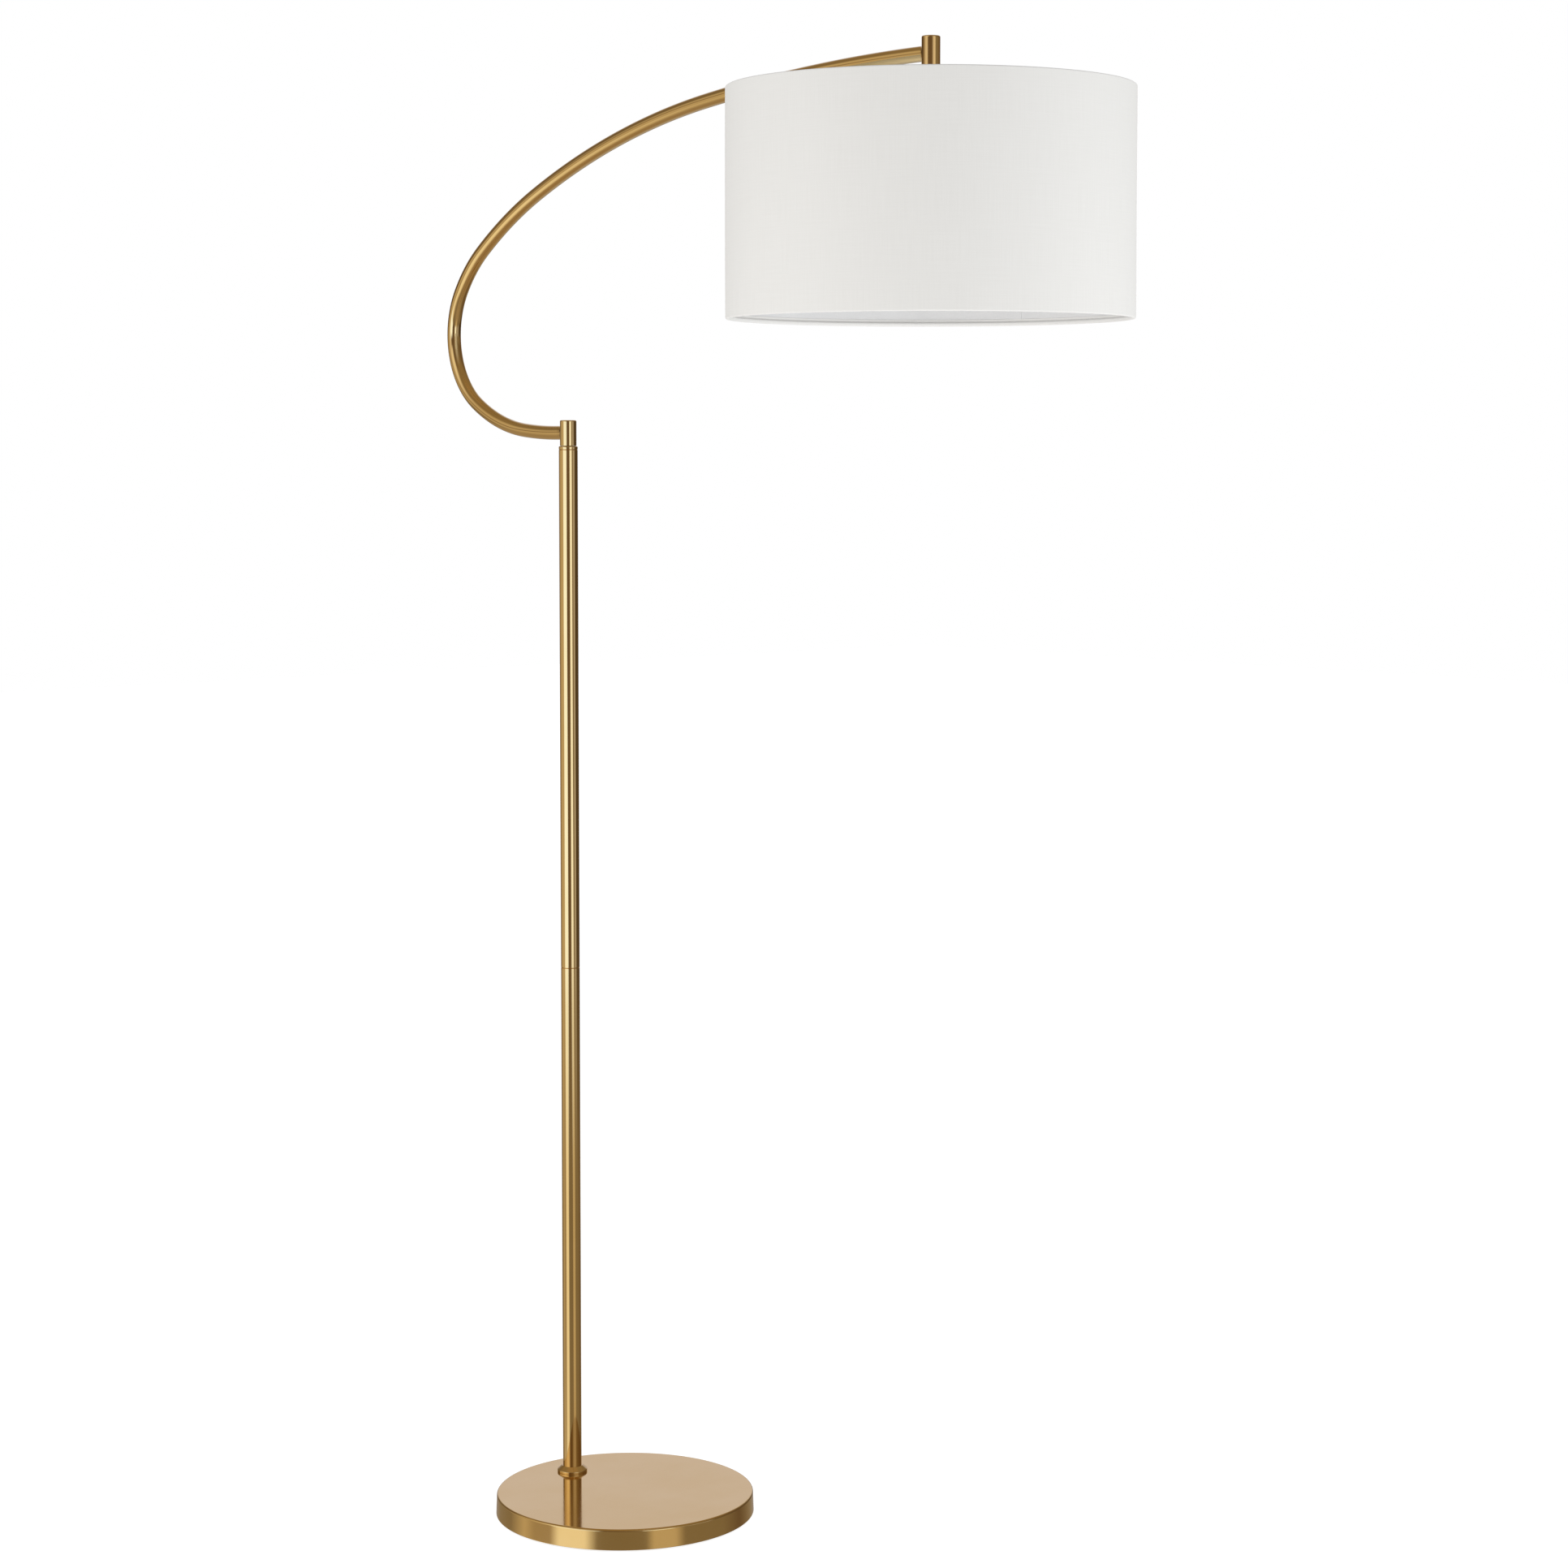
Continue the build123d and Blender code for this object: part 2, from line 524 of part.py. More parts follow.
# ---- Write every piece ----
os.makedirs("parts", exist_ok=True)
for group in (base_pieces, pole_pieces, arm_pieces, lampholder_pieces, bulb_pieces, shade_pieces):
    for name, shape in group().items():
        export_step(shape, f"parts/{name}.step")
end = arm_route() @ 1
print(f"the arm ends at x = {end.X:.1f}, z = {end.Z:.1f}; its centre line is {arm_route().length:.0f} long")
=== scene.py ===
import json
import math

import bmesh
import bpy
import numpy as np
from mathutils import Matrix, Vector


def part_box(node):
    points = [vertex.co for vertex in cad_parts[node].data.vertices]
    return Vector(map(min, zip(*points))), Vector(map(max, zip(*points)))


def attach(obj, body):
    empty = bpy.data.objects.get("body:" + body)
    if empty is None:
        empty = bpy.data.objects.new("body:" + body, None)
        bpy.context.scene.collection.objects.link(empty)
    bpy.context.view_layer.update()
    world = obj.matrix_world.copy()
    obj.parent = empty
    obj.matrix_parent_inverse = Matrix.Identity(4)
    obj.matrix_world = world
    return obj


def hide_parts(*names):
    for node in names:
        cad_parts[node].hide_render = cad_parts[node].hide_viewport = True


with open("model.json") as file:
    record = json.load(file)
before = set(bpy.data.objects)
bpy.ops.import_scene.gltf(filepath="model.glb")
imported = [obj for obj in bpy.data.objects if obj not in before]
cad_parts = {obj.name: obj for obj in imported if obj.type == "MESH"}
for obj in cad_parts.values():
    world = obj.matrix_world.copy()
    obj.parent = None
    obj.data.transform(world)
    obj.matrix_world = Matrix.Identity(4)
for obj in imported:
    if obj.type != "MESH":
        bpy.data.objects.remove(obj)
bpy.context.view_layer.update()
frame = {"nodes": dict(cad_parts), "record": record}

MM = 0.001
TURN = 2 * math.pi


# ---------------------------------------------------------------- places, all from the frame
def low(node):
    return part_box(node)[0]


def high(node):
    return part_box(node)[1]


def middle(node):
    return (low(node) + high(node)) / 2


POLE_X = middle("upper_pole").x
SHADE_X = middle("shade_fabric").x
KNUCKLE_RADIUS = (high("arm_knuckle").y - low("arm_knuckle").y) / 2
FITTING_RADIUS = (high("arm_end_fitting").y - low("arm_end_fitting").y) / 2
SHADE_RADIUS = (high("shade_fabric").y - low("shade_fabric").y) / 2
SHADE_TOP = high("shade_fabric").z
SHADE_BOTTOM = low("shade_fabric").z


# ---------------------------------------------------------------- mesh helpers
EDGE_HOLD = 0.25 * MM       # how close to its ends a long straight run gets an extra point
MERGE_DISTANCE = 1e-6       # points closer than this become one, such as those on a turned piece's axis


def lay_out(mesh, uv, round_length):
    """Gives the mesh its finish layout, carried on over the faces where it comes round to its start."""
    corners = np.zeros(len(mesh.loops), dtype=np.int32)
    starts = np.zeros(len(mesh.polygons), dtype=np.int32)
    totals = np.zeros(len(mesh.polygons), dtype=np.int32)
    mesh.loops.foreach_get("vertex_index", corners)
    mesh.polygons.foreach_get("loop_start", starts)
    mesh.polygons.foreach_get("loop_total", totals)
    layout = np.asarray(uv, dtype=np.float32)[corners]
    u = layout[:, 0]
    width = np.maximum.reduceat(u, starts) - np.minimum.reduceat(u, starts)
    closing = np.repeat(width > round_length / 2, totals)
    behind = u < u.min() + round_length / 2
    layout[:, 0] = np.where(closing & behind, u + round_length, u)
    mesh.uv_layers.new(name="finish").data.foreach_set("uv", layout.ravel())


def new_piece(name, points, faces, body, material, replaces, sharp, uv, round_length):
    """A finished piece: a mesh from points and faces, smooth except at edges sharper than `sharp` degrees.

    `uv` is each point's place in the finish layout, which is `round_length` long round the piece.
    """
    mesh = bpy.data.meshes.new(name)
    mesh.from_pydata([tuple(p) for p in points], [], faces)
    lay_out(mesh, uv, round_length)
    form = bmesh.new()
    form.from_mesh(mesh)
    bmesh.ops.remove_doubles(form, verts=form.verts, dist=MERGE_DISTANCE)
    bmesh.ops.recalc_face_normals(form, faces=form.faces)
    form.to_mesh(mesh)
    form.free()
    mesh.shade_smooth()
    mesh.set_sharp_from_angle(angle=math.radians(sharp))
    mesh.materials.append(material)
    piece = bpy.data.objects.new(name, mesh)
    bpy.context.scene.collection.objects.link(piece)
    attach(piece, body)
    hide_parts(*replaces)
    return piece


def rounded(corners, steps=5):
    """An outline from (radius, z, rounding) corners: each corner with a rounding becomes an arc."""
    outline = []
    for number, (r, z, rounding) in enumerate(corners):
        here = np.array([r, z])
        if not rounding:
            outline.append(here)
            continue
        before = np.array(corners[number - 1][:2]) - here
        after = np.array(corners[(number + 1) % len(corners)][:2]) - here
        before /= np.linalg.norm(before)
        after /= np.linalg.norm(after)
        half = math.acos(np.clip(before @ after, -1, 1)) / 2
        middle_way = (before + after) / np.linalg.norm(before + after)
        centre = here + middle_way * rounding / math.sin(half)
        spoke = here + before * rounding / math.tan(half) - centre
        end = here + after * rounding / math.tan(half) - centre
        turn = math.copysign(math.pi - 2 * half, spoke[0] * end[1] - spoke[1] * end[0])
        for step in range(steps + 1):
            cosine, sine = math.cos(turn * step / steps), math.sin(turn * step / steps)
            turned_spoke = [spoke[0] * cosine - spoke[1] * sine, spoke[0] * sine + spoke[1] * cosine]
            outline.append(centre + turned_spoke)
    return outline


def divided(outline, longest):
    """The closed outline with points added, so that no run is longer than `longest`.

    A long run also gets a point close to each end, which keeps it from shading as if it were curved.
    """
    points = []
    for start, end in zip(outline, [*outline[1:], outline[0]]):
        start, end = np.array(start, float), np.array(end, float)
        length = np.linalg.norm(end - start)
        hold = EDGE_HOLD / length if length > 6 * EDGE_HOLD else 0
        parts = max(1, math.ceil(length / longest))
        places = [part / parts for part in range(parts)]
        if hold:
            places = sorted({0, hold, 1 - hold, *(place for place in places if hold < place < 1 - hold)})
        points += [start + (end - start) * place for place in places]
    return points


def grid_faces(rows, columns, around_rows, around_columns):
    """The quads of a grid of points, closed on itself along its rows, its columns or both."""
    faces = []
    for row in range(rows if around_rows else rows - 1):
        for column in range(columns if around_columns else columns - 1):
            above, beside = (row + 1) % rows, (column + 1) % columns
            corners = (row, column), (row, beside), (above, beside), (above, column)
            faces.append([r * columns + c for r, c in corners])
    return faces


def turned(name, outline, x, body, material, replaces, segments=96, shape=None, angles=None,
           sharp=40):
    """A piece turned about the upright line at x, from a closed outline of (radius, z) points.

    `shape` may move the points: it takes their angles, radii and heights, and gives new radii and
    heights. The finish layout runs round the piece and along its outline, in metres.
    """
    if angles is None:
        angles = np.linspace(0, TURN, segments, endpoint=False)
    outline = np.array(outline)
    steps = np.linalg.norm(np.diff(outline, axis=0), axis=1)
    along = np.concatenate([[0], np.cumsum(steps)])
    theta, r = np.meshgrid(angles, outline[:, 0])
    z = np.meshgrid(angles, outline[:, 1])[1]
    v = np.meshgrid(angles, along)[1]
    if shape:
        r, z = shape(theta, r, z)
    points = np.stack([x + r * np.cos(theta), r * np.sin(theta), z], axis=2).reshape(-1, 3)
    radius = outline[:, 0].max()
    uv = np.stack([theta * radius, v], axis=2).reshape(-1, 2)
    faces = grid_faces(len(outline), len(angles), True, True)
    return new_piece(name, points, faces, body, material, replaces, sharp, uv, TURN * radius)


def disc_outline(radius, bottom, top, edge):
    """The outline of a plain turned disc with rounded edges."""
    return rounded([(0, bottom, 0), (radius, bottom, edge), (radius, top, edge), (0, top, 0)])


def tube_rings(centres, headings, widths, heights, sides):
    """Rings of points round a line in the plane Y = 0: `widths` lie along Y, `heights` across the line."""
    angle = np.linspace(0, TURN, sides, endpoint=False)
    rings = []
    for centre, heading, width, height in zip(centres, headings, widths, heights):
        across = np.array([-heading[1], heading[0]])
        x = centre[0] + across[0] * height * np.cos(angle)
        z = centre[1] + across[1] * height * np.cos(angle)
        rings.append(np.stack([x, width * np.sin(angle), z], axis=1))
    return rings


# ---------------------------------------------------------------- material helpers
class Nodes:
    """A material's nodes, with short ways to add and join them."""

    def __init__(self, name):
        self.material = bpy.data.materials.new(name)
        self.material.use_nodes = True
        self.tree = self.material.node_tree
        self.shader = self.tree.nodes["Principled BSDF"]

    def add(self, kind, **settings):
        node = self.tree.nodes.new(kind)
        for key, value in settings.items():
            setattr(node, key, value)
        return node

    def join(self, output, socket):
        self.tree.links.new(output, socket)

    def set(self, **values):
        for key, value in values.items():
            self.shader.inputs[key.replace("_", " ")].default_value = value

    def place(self, coordinates, scale):
        """The piece's own coordinates, or its finish layout, stretched by a scale along each axis."""
        source = self.add("ShaderNodeTexCoord")
        mapping = self.add("ShaderNodeMapping")
        mapping.inputs["Scale"].default_value = scale
        self.join(source.outputs[coordinates], mapping.inputs["Vector"])
        return mapping.outputs["Vector"]

    def noise(self, vector, scale, detail=3.0, roughness=0.5):
        node = self.add("ShaderNodeTexNoise")
        node.inputs["Scale"].default_value = scale
        node.inputs["Detail"].default_value = detail
        node.inputs["Roughness"].default_value = roughness
        self.join(vector, node.inputs["Vector"])
        return node.outputs["Fac"]

    def spread(self, value, low_in, high_in, low_out, high_out):
        """The value, moved from one range into another and held to its limits."""
        node = self.add("ShaderNodeMapRange")
        limits = {"From Min": low_in, "From Max": high_in, "To Min": low_out, "To Max": high_out}
        for key, number in limits.items():
            node.inputs[key].default_value = number
        self.join(value, node.inputs["Value"])
        return node.outputs["Result"]

    def tint(self, value, first, second):
        """A colour that runs from the first to the second as the value goes from 0 to 1."""
        node = self.add("ShaderNodeMix", data_type="RGBA")
        node.inputs["A"].default_value = (*first, 1)
        node.inputs["B"].default_value = (*second, 1)
        self.join(value, node.inputs["Factor"])
        return node.outputs["Result"]

    def calculate(self, operation, *values):
        node = self.add("ShaderNodeMath", operation=operation)
        for socket, value in zip(node.inputs, values):
            if isinstance(value, (int, float)):
                socket.default_value = value
            else:
                self.join(value, socket)
        return node.outputs["Value"]

    def times(self, first, second):
        return self.calculate("MULTIPLY", first, second)

    def weighted(self, first, first_share, second, second_share):
        return self.calculate("ADD", self.times(first, first_share), self.times(second, second_share))

    def bump(self, height, distance):
        node = self.add("ShaderNodeBump")
        node.inputs["Distance"].default_value = distance
        node.inputs["Strength"].default_value = 1.0
        self.join(height, node.inputs["Height"])
        self.join(node.outputs["Normal"], self.shader.inputs["Normal"])


# ---------------------------------------------------------------- materials
BRUSHED_LINES = (60, 9000, 1)   # unevenness per metre along the lines and across them
UPRIGHT_SLUBS = (900, 22, 1)    # the same for the cloth's thicker threads, round it and up it
LEVEL_SLUBS = (22, 900, 1)
WEAVE_WANDER = 0.9              # how far a thread strays, as a share of the pitch


def brass_material(name, light, deep, smooth, rough):
    """Brushed and lacquered brass: fine lines round the piece, faint clouds of tone, soft gloss."""
    m = Nodes(name)
    lines = m.noise(m.place("UV", BRUSHED_LINES), 1.0, 2.0, 0.6)
    clouds = m.noise(m.place("Object", (1, 1, 1)), 14.0, 4.0, 0.55)
    m.join(m.tint(m.spread(clouds, 0.3, 0.7, 0, 1), light, deep), m.shader.inputs["Base Color"])
    mixed = m.weighted(lines, 0.6, clouds, 0.4)
    m.join(m.spread(mixed, 0.3, 0.7, smooth, rough), m.shader.inputs["Roughness"])
    m.set(Metallic=1.0)
    return m.material


def grained_material(name, light, deep, smooth, rough, scale, depth, metallic=0.0, coat=0.0):
    """A moulded, cast, painted or plated surface: grain of one size in its tone, gloss and relief."""
    m = Nodes(name)
    where = m.place("Object", (1, 1, 1))
    grain = m.noise(where, scale, 4.0, 0.6)
    clouds = m.noise(where, scale * 0.06, 3.0, 0.5)
    mixed = m.weighted(grain, 0.5, clouds, 0.5)
    m.join(m.tint(m.spread(mixed, 0.35, 0.65, 0, 1), light, deep), m.shader.inputs["Base Color"])
    m.join(m.spread(grain, 0.3, 0.7, smooth, rough), m.shader.inputs["Roughness"])
    m.bump(grain, depth)
    m.set(Metallic=metallic, Coat_Weight=coat)
    return m.material


def woven_material(name, light, deep, pitch, depth):
    """Plain-weave cloth laid out in metres: threads over and under, uneven in width, with slubs."""
    m = Nodes(name)
    split = m.add("ShaderNodeSeparateXYZ")
    where = m.place("UV", (1, 1, 1))
    m.join(where, split.inputs["Vector"])
    wander = m.noise(where, 90.0, 2.0, 0.5)
    shift = m.times(m.calculate("SUBTRACT", wander, 0.5), WEAVE_WANDER * pitch)
    upright_slubs = m.noise(m.place("UV", UPRIGHT_SLUBS), 1.0, 2.0, 0.55)
    level_slubs = m.noise(m.place("UV", LEVEL_SLUBS), 1.0, 2.0, 0.55)
    warp_wave, weft_wave = (
        m.calculate("SINE", m.times(m.calculate("ADD", split.outputs[axis], shift), math.pi / pitch))
        for axis in ("X", "Y"))
    warp = m.calculate("ABSOLUTE", warp_wave)
    weft = m.calculate("ABSOLUTE", weft_wave)
    turns = m.spread(m.times(warp_wave, weft_wave), -0.3, 0.3, 0, 1)
    warp_part = m.times(m.times(warp, turns), upright_slubs)
    weft_part = m.times(m.times(weft, m.calculate("SUBTRACT", 1.0, turns)), level_slubs)
    threads = m.calculate("ADD", warp_part, weft_part)
    slubs = m.weighted(upright_slubs, 0.6, level_slubs, 0.4)
    tone = m.weighted(slubs, 0.7, threads, 0.6)
    m.join(m.tint(m.spread(tone, 0.3, 0.8, 0, 1), deep, light), m.shader.inputs["Base Color"])
    m.join(m.spread(threads, 0, 0.6, 0.95, 0.8), m.shader.inputs["Roughness"])
    m.bump(m.weighted(threads, 0.7, slubs, 0.5), depth)
    m.set(Sheen_Weight=0.15, Sheen_Roughness=0.5, Specular_IOR_Level=0.2)
    return m.material


def opal_material():
    """Opal bulb glass: white and glossy, a little uneven in tone."""
    m = Nodes("opal_glass")
    cloud = m.noise(m.place("Object", (1, 1, 1)), 60.0, 3.0, 0.5)
    m.join(m.tint(cloud, (0.93, 0.92, 0.89), (0.87, 0.87, 0.85)), m.shader.inputs["Base Color"])
    m.join(m.spread(cloud, 0.3, 0.7, 0.1, 0.2), m.shader.inputs["Roughness"])
    m.bump(cloud, 1e-5)
    m.set(Coat_Weight=0.6, Coat_Roughness=0.05, Subsurface_Weight=0.1, Subsurface_Scale=0.003)
    return m.material


# Each has its lighter and deeper tone and its least and most roughness. The grained ones also have
# their grain's scale and its depth in metres.
MATERIALS = {
    "polished_brass": brass_material("polished_brass", (0.81, 0.61, 0.31), (0.78, 0.58, 0.28), 0.05, 0.08),
    "satin_brass": brass_material("satin_brass", (0.81, 0.61, 0.31), (0.78, 0.57, 0.26), 0.08, 0.11),
    "raw_brass": brass_material("raw_brass", (0.80, 0.62, 0.30), (0.70, 0.50, 0.22), 0.2, 0.4),
    "zinc_steel": grained_material("zinc_steel", (0.72, 0.73, 0.75), (0.52, 0.53, 0.55), 0.25, 0.42,
                                   scale=900, depth=4e-6, metallic=1.0),
    "iron_weight": grained_material("iron_weight", (0.035, 0.034, 0.033), (0.015, 0.015, 0.015), 0.5, 0.8,
                                    scale=500, depth=8e-5),
    "pad_foam": grained_material("pad_foam", (0.022, 0.022, 0.023), (0.012, 0.012, 0.012), 0.85, 1.0,
                                 scale=1800, depth=6e-5),
    "black_rubber": grained_material("black_rubber", (0.02, 0.02, 0.02), (0.01, 0.01, 0.01), 0.55, 0.75,
                                     scale=2500, depth=1e-5),
    "nylon": grained_material("nylon", (0.05, 0.045, 0.04), (0.03, 0.027, 0.024), 0.4, 0.55,
                              scale=1500, depth=1e-5),
    "flex_sheath": grained_material("flex_sheath", (0.62, 0.50, 0.24), (0.50, 0.38, 0.16), 0.3, 0.45,
                                    scale=400, depth=1e-5),
    "phenolic": grained_material("phenolic", (0.022, 0.020, 0.019), (0.012, 0.011, 0.010), 0.16, 0.3,
                                 scale=700, depth=6e-6, coat=0.3),
    "opal_glass": opal_material(),
    "bulb_aluminium": grained_material("bulb_aluminium", (0.82, 0.82, 0.83), (0.6, 0.6, 0.62), 0.22, 0.4,
                                       scale=800, depth=4e-6, metallic=1.0),
    "shade_linen": woven_material("shade_linen", (0.80, 0.793, 0.775), (0.765, 0.757, 0.737),
                                  pitch=0.42 * MM, depth=4e-5),
    # The lining is white styrene. Its tone here is set greyer than that, which paints in the shade that falls
    # inside the drum.
    "shade_lining": grained_material("shade_lining", (0.745, 0.745, 0.75), (0.70, 0.70, 0.705), 0.5, 0.65,
                                     scale=700, depth=8e-6),
    "white_wire": grained_material("white_wire", (0.84, 0.84, 0.82), (0.76, 0.76, 0.74), 0.3, 0.45,
                                   scale=1600, depth=1.5e-5),
}


def finish_cad_nodes():
    """Every piece that stays as the CAD made it gets the material of its slot."""
    slots = {entry["node"]: entry["material_slot"] for entry in frame["record"]["subparts"]}
    for node, piece in frame["nodes"].items():
        piece.data.materials.clear()
        piece.data.materials.append(MATERIALS[slots[node]])


# ---------------------------------------------------------------- base
COVER_WALL = 1.2 * MM
COVER_FLARE = 0.8 * MM      # the side leans in by this much from its foot to its top
COVER_EDGE = 2.1 * MM       # rounding of the top edge
COVER_INNER_EDGE = 1.0 * MM
COVER_FOOT = 0.4 * MM       # rounding of the foot
COVER_INNER_FOOT = 0.3 * MM
PAD_EDGE = 0.5 * MM
INLET_HOLE = 5 * MM
DRILL_LENGTH = 30 * MM


def base_pieces():
    """The pressed brass cover, with its hole for the flex, and the foam foot pad."""
    cover_low, cover_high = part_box("base_cover")
    foot_radius = cover_high.y
    top_radius = foot_radius - COVER_FLARE
    inside_z = cover_high.z - COVER_WALL
    outline = rounded([
        (0, inside_z, 0),
        (top_radius - COVER_WALL, inside_z, COVER_INNER_EDGE),
        (foot_radius - COVER_WALL, cover_low.z, COVER_INNER_FOOT),
        (foot_radius, cover_low.z, COVER_FOOT),
        (top_radius, cover_high.z, COVER_EDGE),
        (0, cover_high.z, 0),
    ], 6)
    cover = turned("base_cover_shell", divided(outline, 4 * MM), 0, "stand",
                   MATERIALS["satin_brass"], ["base_cover"], segments=240)
    cut_inlet(cover)
    pad_high = high("base_pad")
    pad = disc_outline(pad_high.y, 0, pad_high.z, PAD_EDGE)
    turned("base_foot_pad", divided(pad, 6 * MM), 0, "stand", MATERIALS["pad_foam"],
           ["base_pad"], segments=160)


def cut_inlet(cover):
    """Cuts the round hole for the grommet in the cover's back wall."""
    bpy.ops.mesh.primitive_cylinder_add(vertices=48, radius=INLET_HOLE, depth=DRILL_LENGTH,
                                        location=middle("cable_inlet_grommet"),
                                        rotation=(0, math.pi / 2, 0))
    drill = bpy.context.object
    hole = cover.modifiers.new("inlet", "BOOLEAN")
    hole.object = drill
    hole.operation = "DIFFERENCE"
    shape = bpy.data.meshes.new_from_object(cover.evaluated_get(bpy.context.evaluated_depsgraph_get()))
    cover.modifiers.clear()
    cover.data = shape
    bpy.data.objects.remove(drill)


# ---------------------------------------------------------------- pole
POLE_BORE = 9.0 * MM
JOINT_DEPTH = 0.6 * MM      # each tube's end is bevelled, which shows as a fine dark line
JOINT_HEIGHT = 0.35 * MM
JOINT_EDGE = 0.15 * MM
THREAD_BORE = 5.05 * MM     # the ring's bore, round the threaded pipe
RING_EDGE = 0.9 * MM
FLANGE_BORE = 10.45 * MM
FLANGE_TOP = 11.3 * MM
FLANGE_RIM = 2.7 * MM       # height of the flange's upright rim
FLANGE_SHOULDER = 1.2 * MM
FLANGE_CORNER = 0.3 * MM


def pole_pieces():
    """The two tubes, the ring on top and the flange at the foot."""
    for node in ("lower_pole", "upper_pole"):
        bottom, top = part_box(node)
        pole_piece(f"{node}_tube", node, 12 * MM, rounded([
            (POLE_BORE, bottom.z, 0),
            (top.y - JOINT_DEPTH, bottom.z, 0),
            (top.y, bottom.z + JOINT_HEIGHT, JOINT_EDGE),
            (top.y, top.z - JOINT_HEIGHT, JOINT_EDGE),
            (top.y - JOINT_DEPTH, top.z, 0),
            (POLE_BORE, top.z, 0),
        ], 3))
    bottom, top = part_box("pole_top_ring")
    pole_piece("pole_top_collar", "pole_top_ring", 1 * MM, rounded([
        (THREAD_BORE, bottom.z, 0),
        (top.y - JOINT_DEPTH, bottom.z, 0),
        (top.y, bottom.z + JOINT_HEIGHT, JOINT_EDGE),
        (top.y, top.z, RING_EDGE),
        (THREAD_BORE, top.z, 0),
    ], 6))
    bottom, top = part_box("pole_flange")
    pole_piece("pole_base_flange", "pole_flange", 1 * MM, rounded([
        (FLANGE_BORE, bottom.z, 0),
        (top.y, bottom.z, FLANGE_CORNER),
        (top.y, bottom.z + FLANGE_RIM, FLANGE_SHOULDER),
        (FLANGE_TOP, top.z, FLANGE_CORNER),
        (FLANGE_BORE, top.z, 0),
    ], 6), segments=120)


def pole_piece(name, node, longest, outline, segments=96):
    """A turned brass piece on the pole's axis."""
    turned(name, divided(outline, longest), POLE_X, "stand",
           MATERIALS["polished_brass"], [node], segments)


# ---------------------------------------------------------------- arm
# The arm's centre line: a level run away from the shade, then arcs of (radius, degrees) that turn
# it over through half a circle, so that it ends level at the shade's end fitting.
ARM_Z = 1185.7 * MM
ARM_FIRST_RUN = 20.5 * MM
ARM_BENDS = ((540, 6.2), (210, 25.8), (92, 90.4), (163, 21.0), (520, 12.8), (1050, 16.6), (2585, 7.2))
ARM_RADIUS = 7.6 * MM
TIGHT_BEND = 150 * MM   # bends tighter than this press the tube a little oval
OVAL = 0.035            # share by which a tight bend's middle is wider than the round tube
OVAL_LOSS = 0.6         # how much flatter it is there, as a share of that widening
RING_SPACING = 4 * MM
SEAT_FILLET = 1.3 * MM  # the brazed fillet where the tube meets its two posts
SEAT_RINGS = 7
SEAT_MARGIN = 0.15 * MM # how far inside the post's outline the fillet stays
SEAT_SINK = 0.05 * MM   # how far the first ring is sunk into the post
FIRST_RING_AWAY = 3 * MM
TUBE_SIDES = 64
POST_BORE = 5.0 * MM
POST_FOOT_EDGE = 0.25 * MM
POST_TOP_EDGE = 1.3 * MM
POST_ROOF = 2 * MM      # thickness over the posts' bores


def arm_line():
    """Points, headings and ovalness along the arm's centre line, from the end of its first level run."""
    point = np.array([POLE_X - ARM_FIRST_RUN, ARM_Z])
    heading = math.pi
    points, headings, ovals = [point], [heading], [0.0]
    for radius_mm, degrees in ARM_BENDS:
        radius = radius_mm * MM
        centre = point + radius * np.array([math.sin(heading), -math.cos(heading)])
        parts = math.ceil(radius * math.radians(degrees) / RING_SPACING)
        for part in range(1, parts + 1):
            angle = heading - math.radians(degrees) * part / parts
            points.append(centre - radius * np.array([math.sin(angle), -math.cos(angle)]))
            headings.append(angle)
            ovals.append(OVAL * math.sin(math.pi * part / parts) ** 0.5 if radius < TIGHT_BEND else 0.0)
        point, heading = points[-1], headings[-1]
    return points, headings, ovals


def seat_rings(axis_x, level, post_radius, upward):
    """The tube's end rings on the -X side of a post: cut to its round wall, with a brazed fillet.

    The first ring lies on the post. `upward` is 1 where a ring's first point is its highest, and -1
    where it is its lowest, so that the rings join the tube's own without a twist.
    """
    angle = np.linspace(0, TURN, TUBE_SIDES, endpoint=False)
    rings = []
    for away in np.linspace(0, SEAT_FILLET, SEAT_RINGS):
        spread = SEAT_FILLET - math.sqrt(SEAT_FILLET ** 2 - (SEAT_FILLET - away) ** 2)
        radius = ARM_RADIUS + min(spread, post_radius - ARM_RADIUS - SEAT_MARGIN)
        y = radius * np.sin(angle)
        x = axis_x - np.sqrt(post_radius ** 2 - y ** 2) - away + SEAT_SINK
        rings.append(np.stack([x, y, level + upward * radius * np.cos(angle)], axis=1))
    return rings


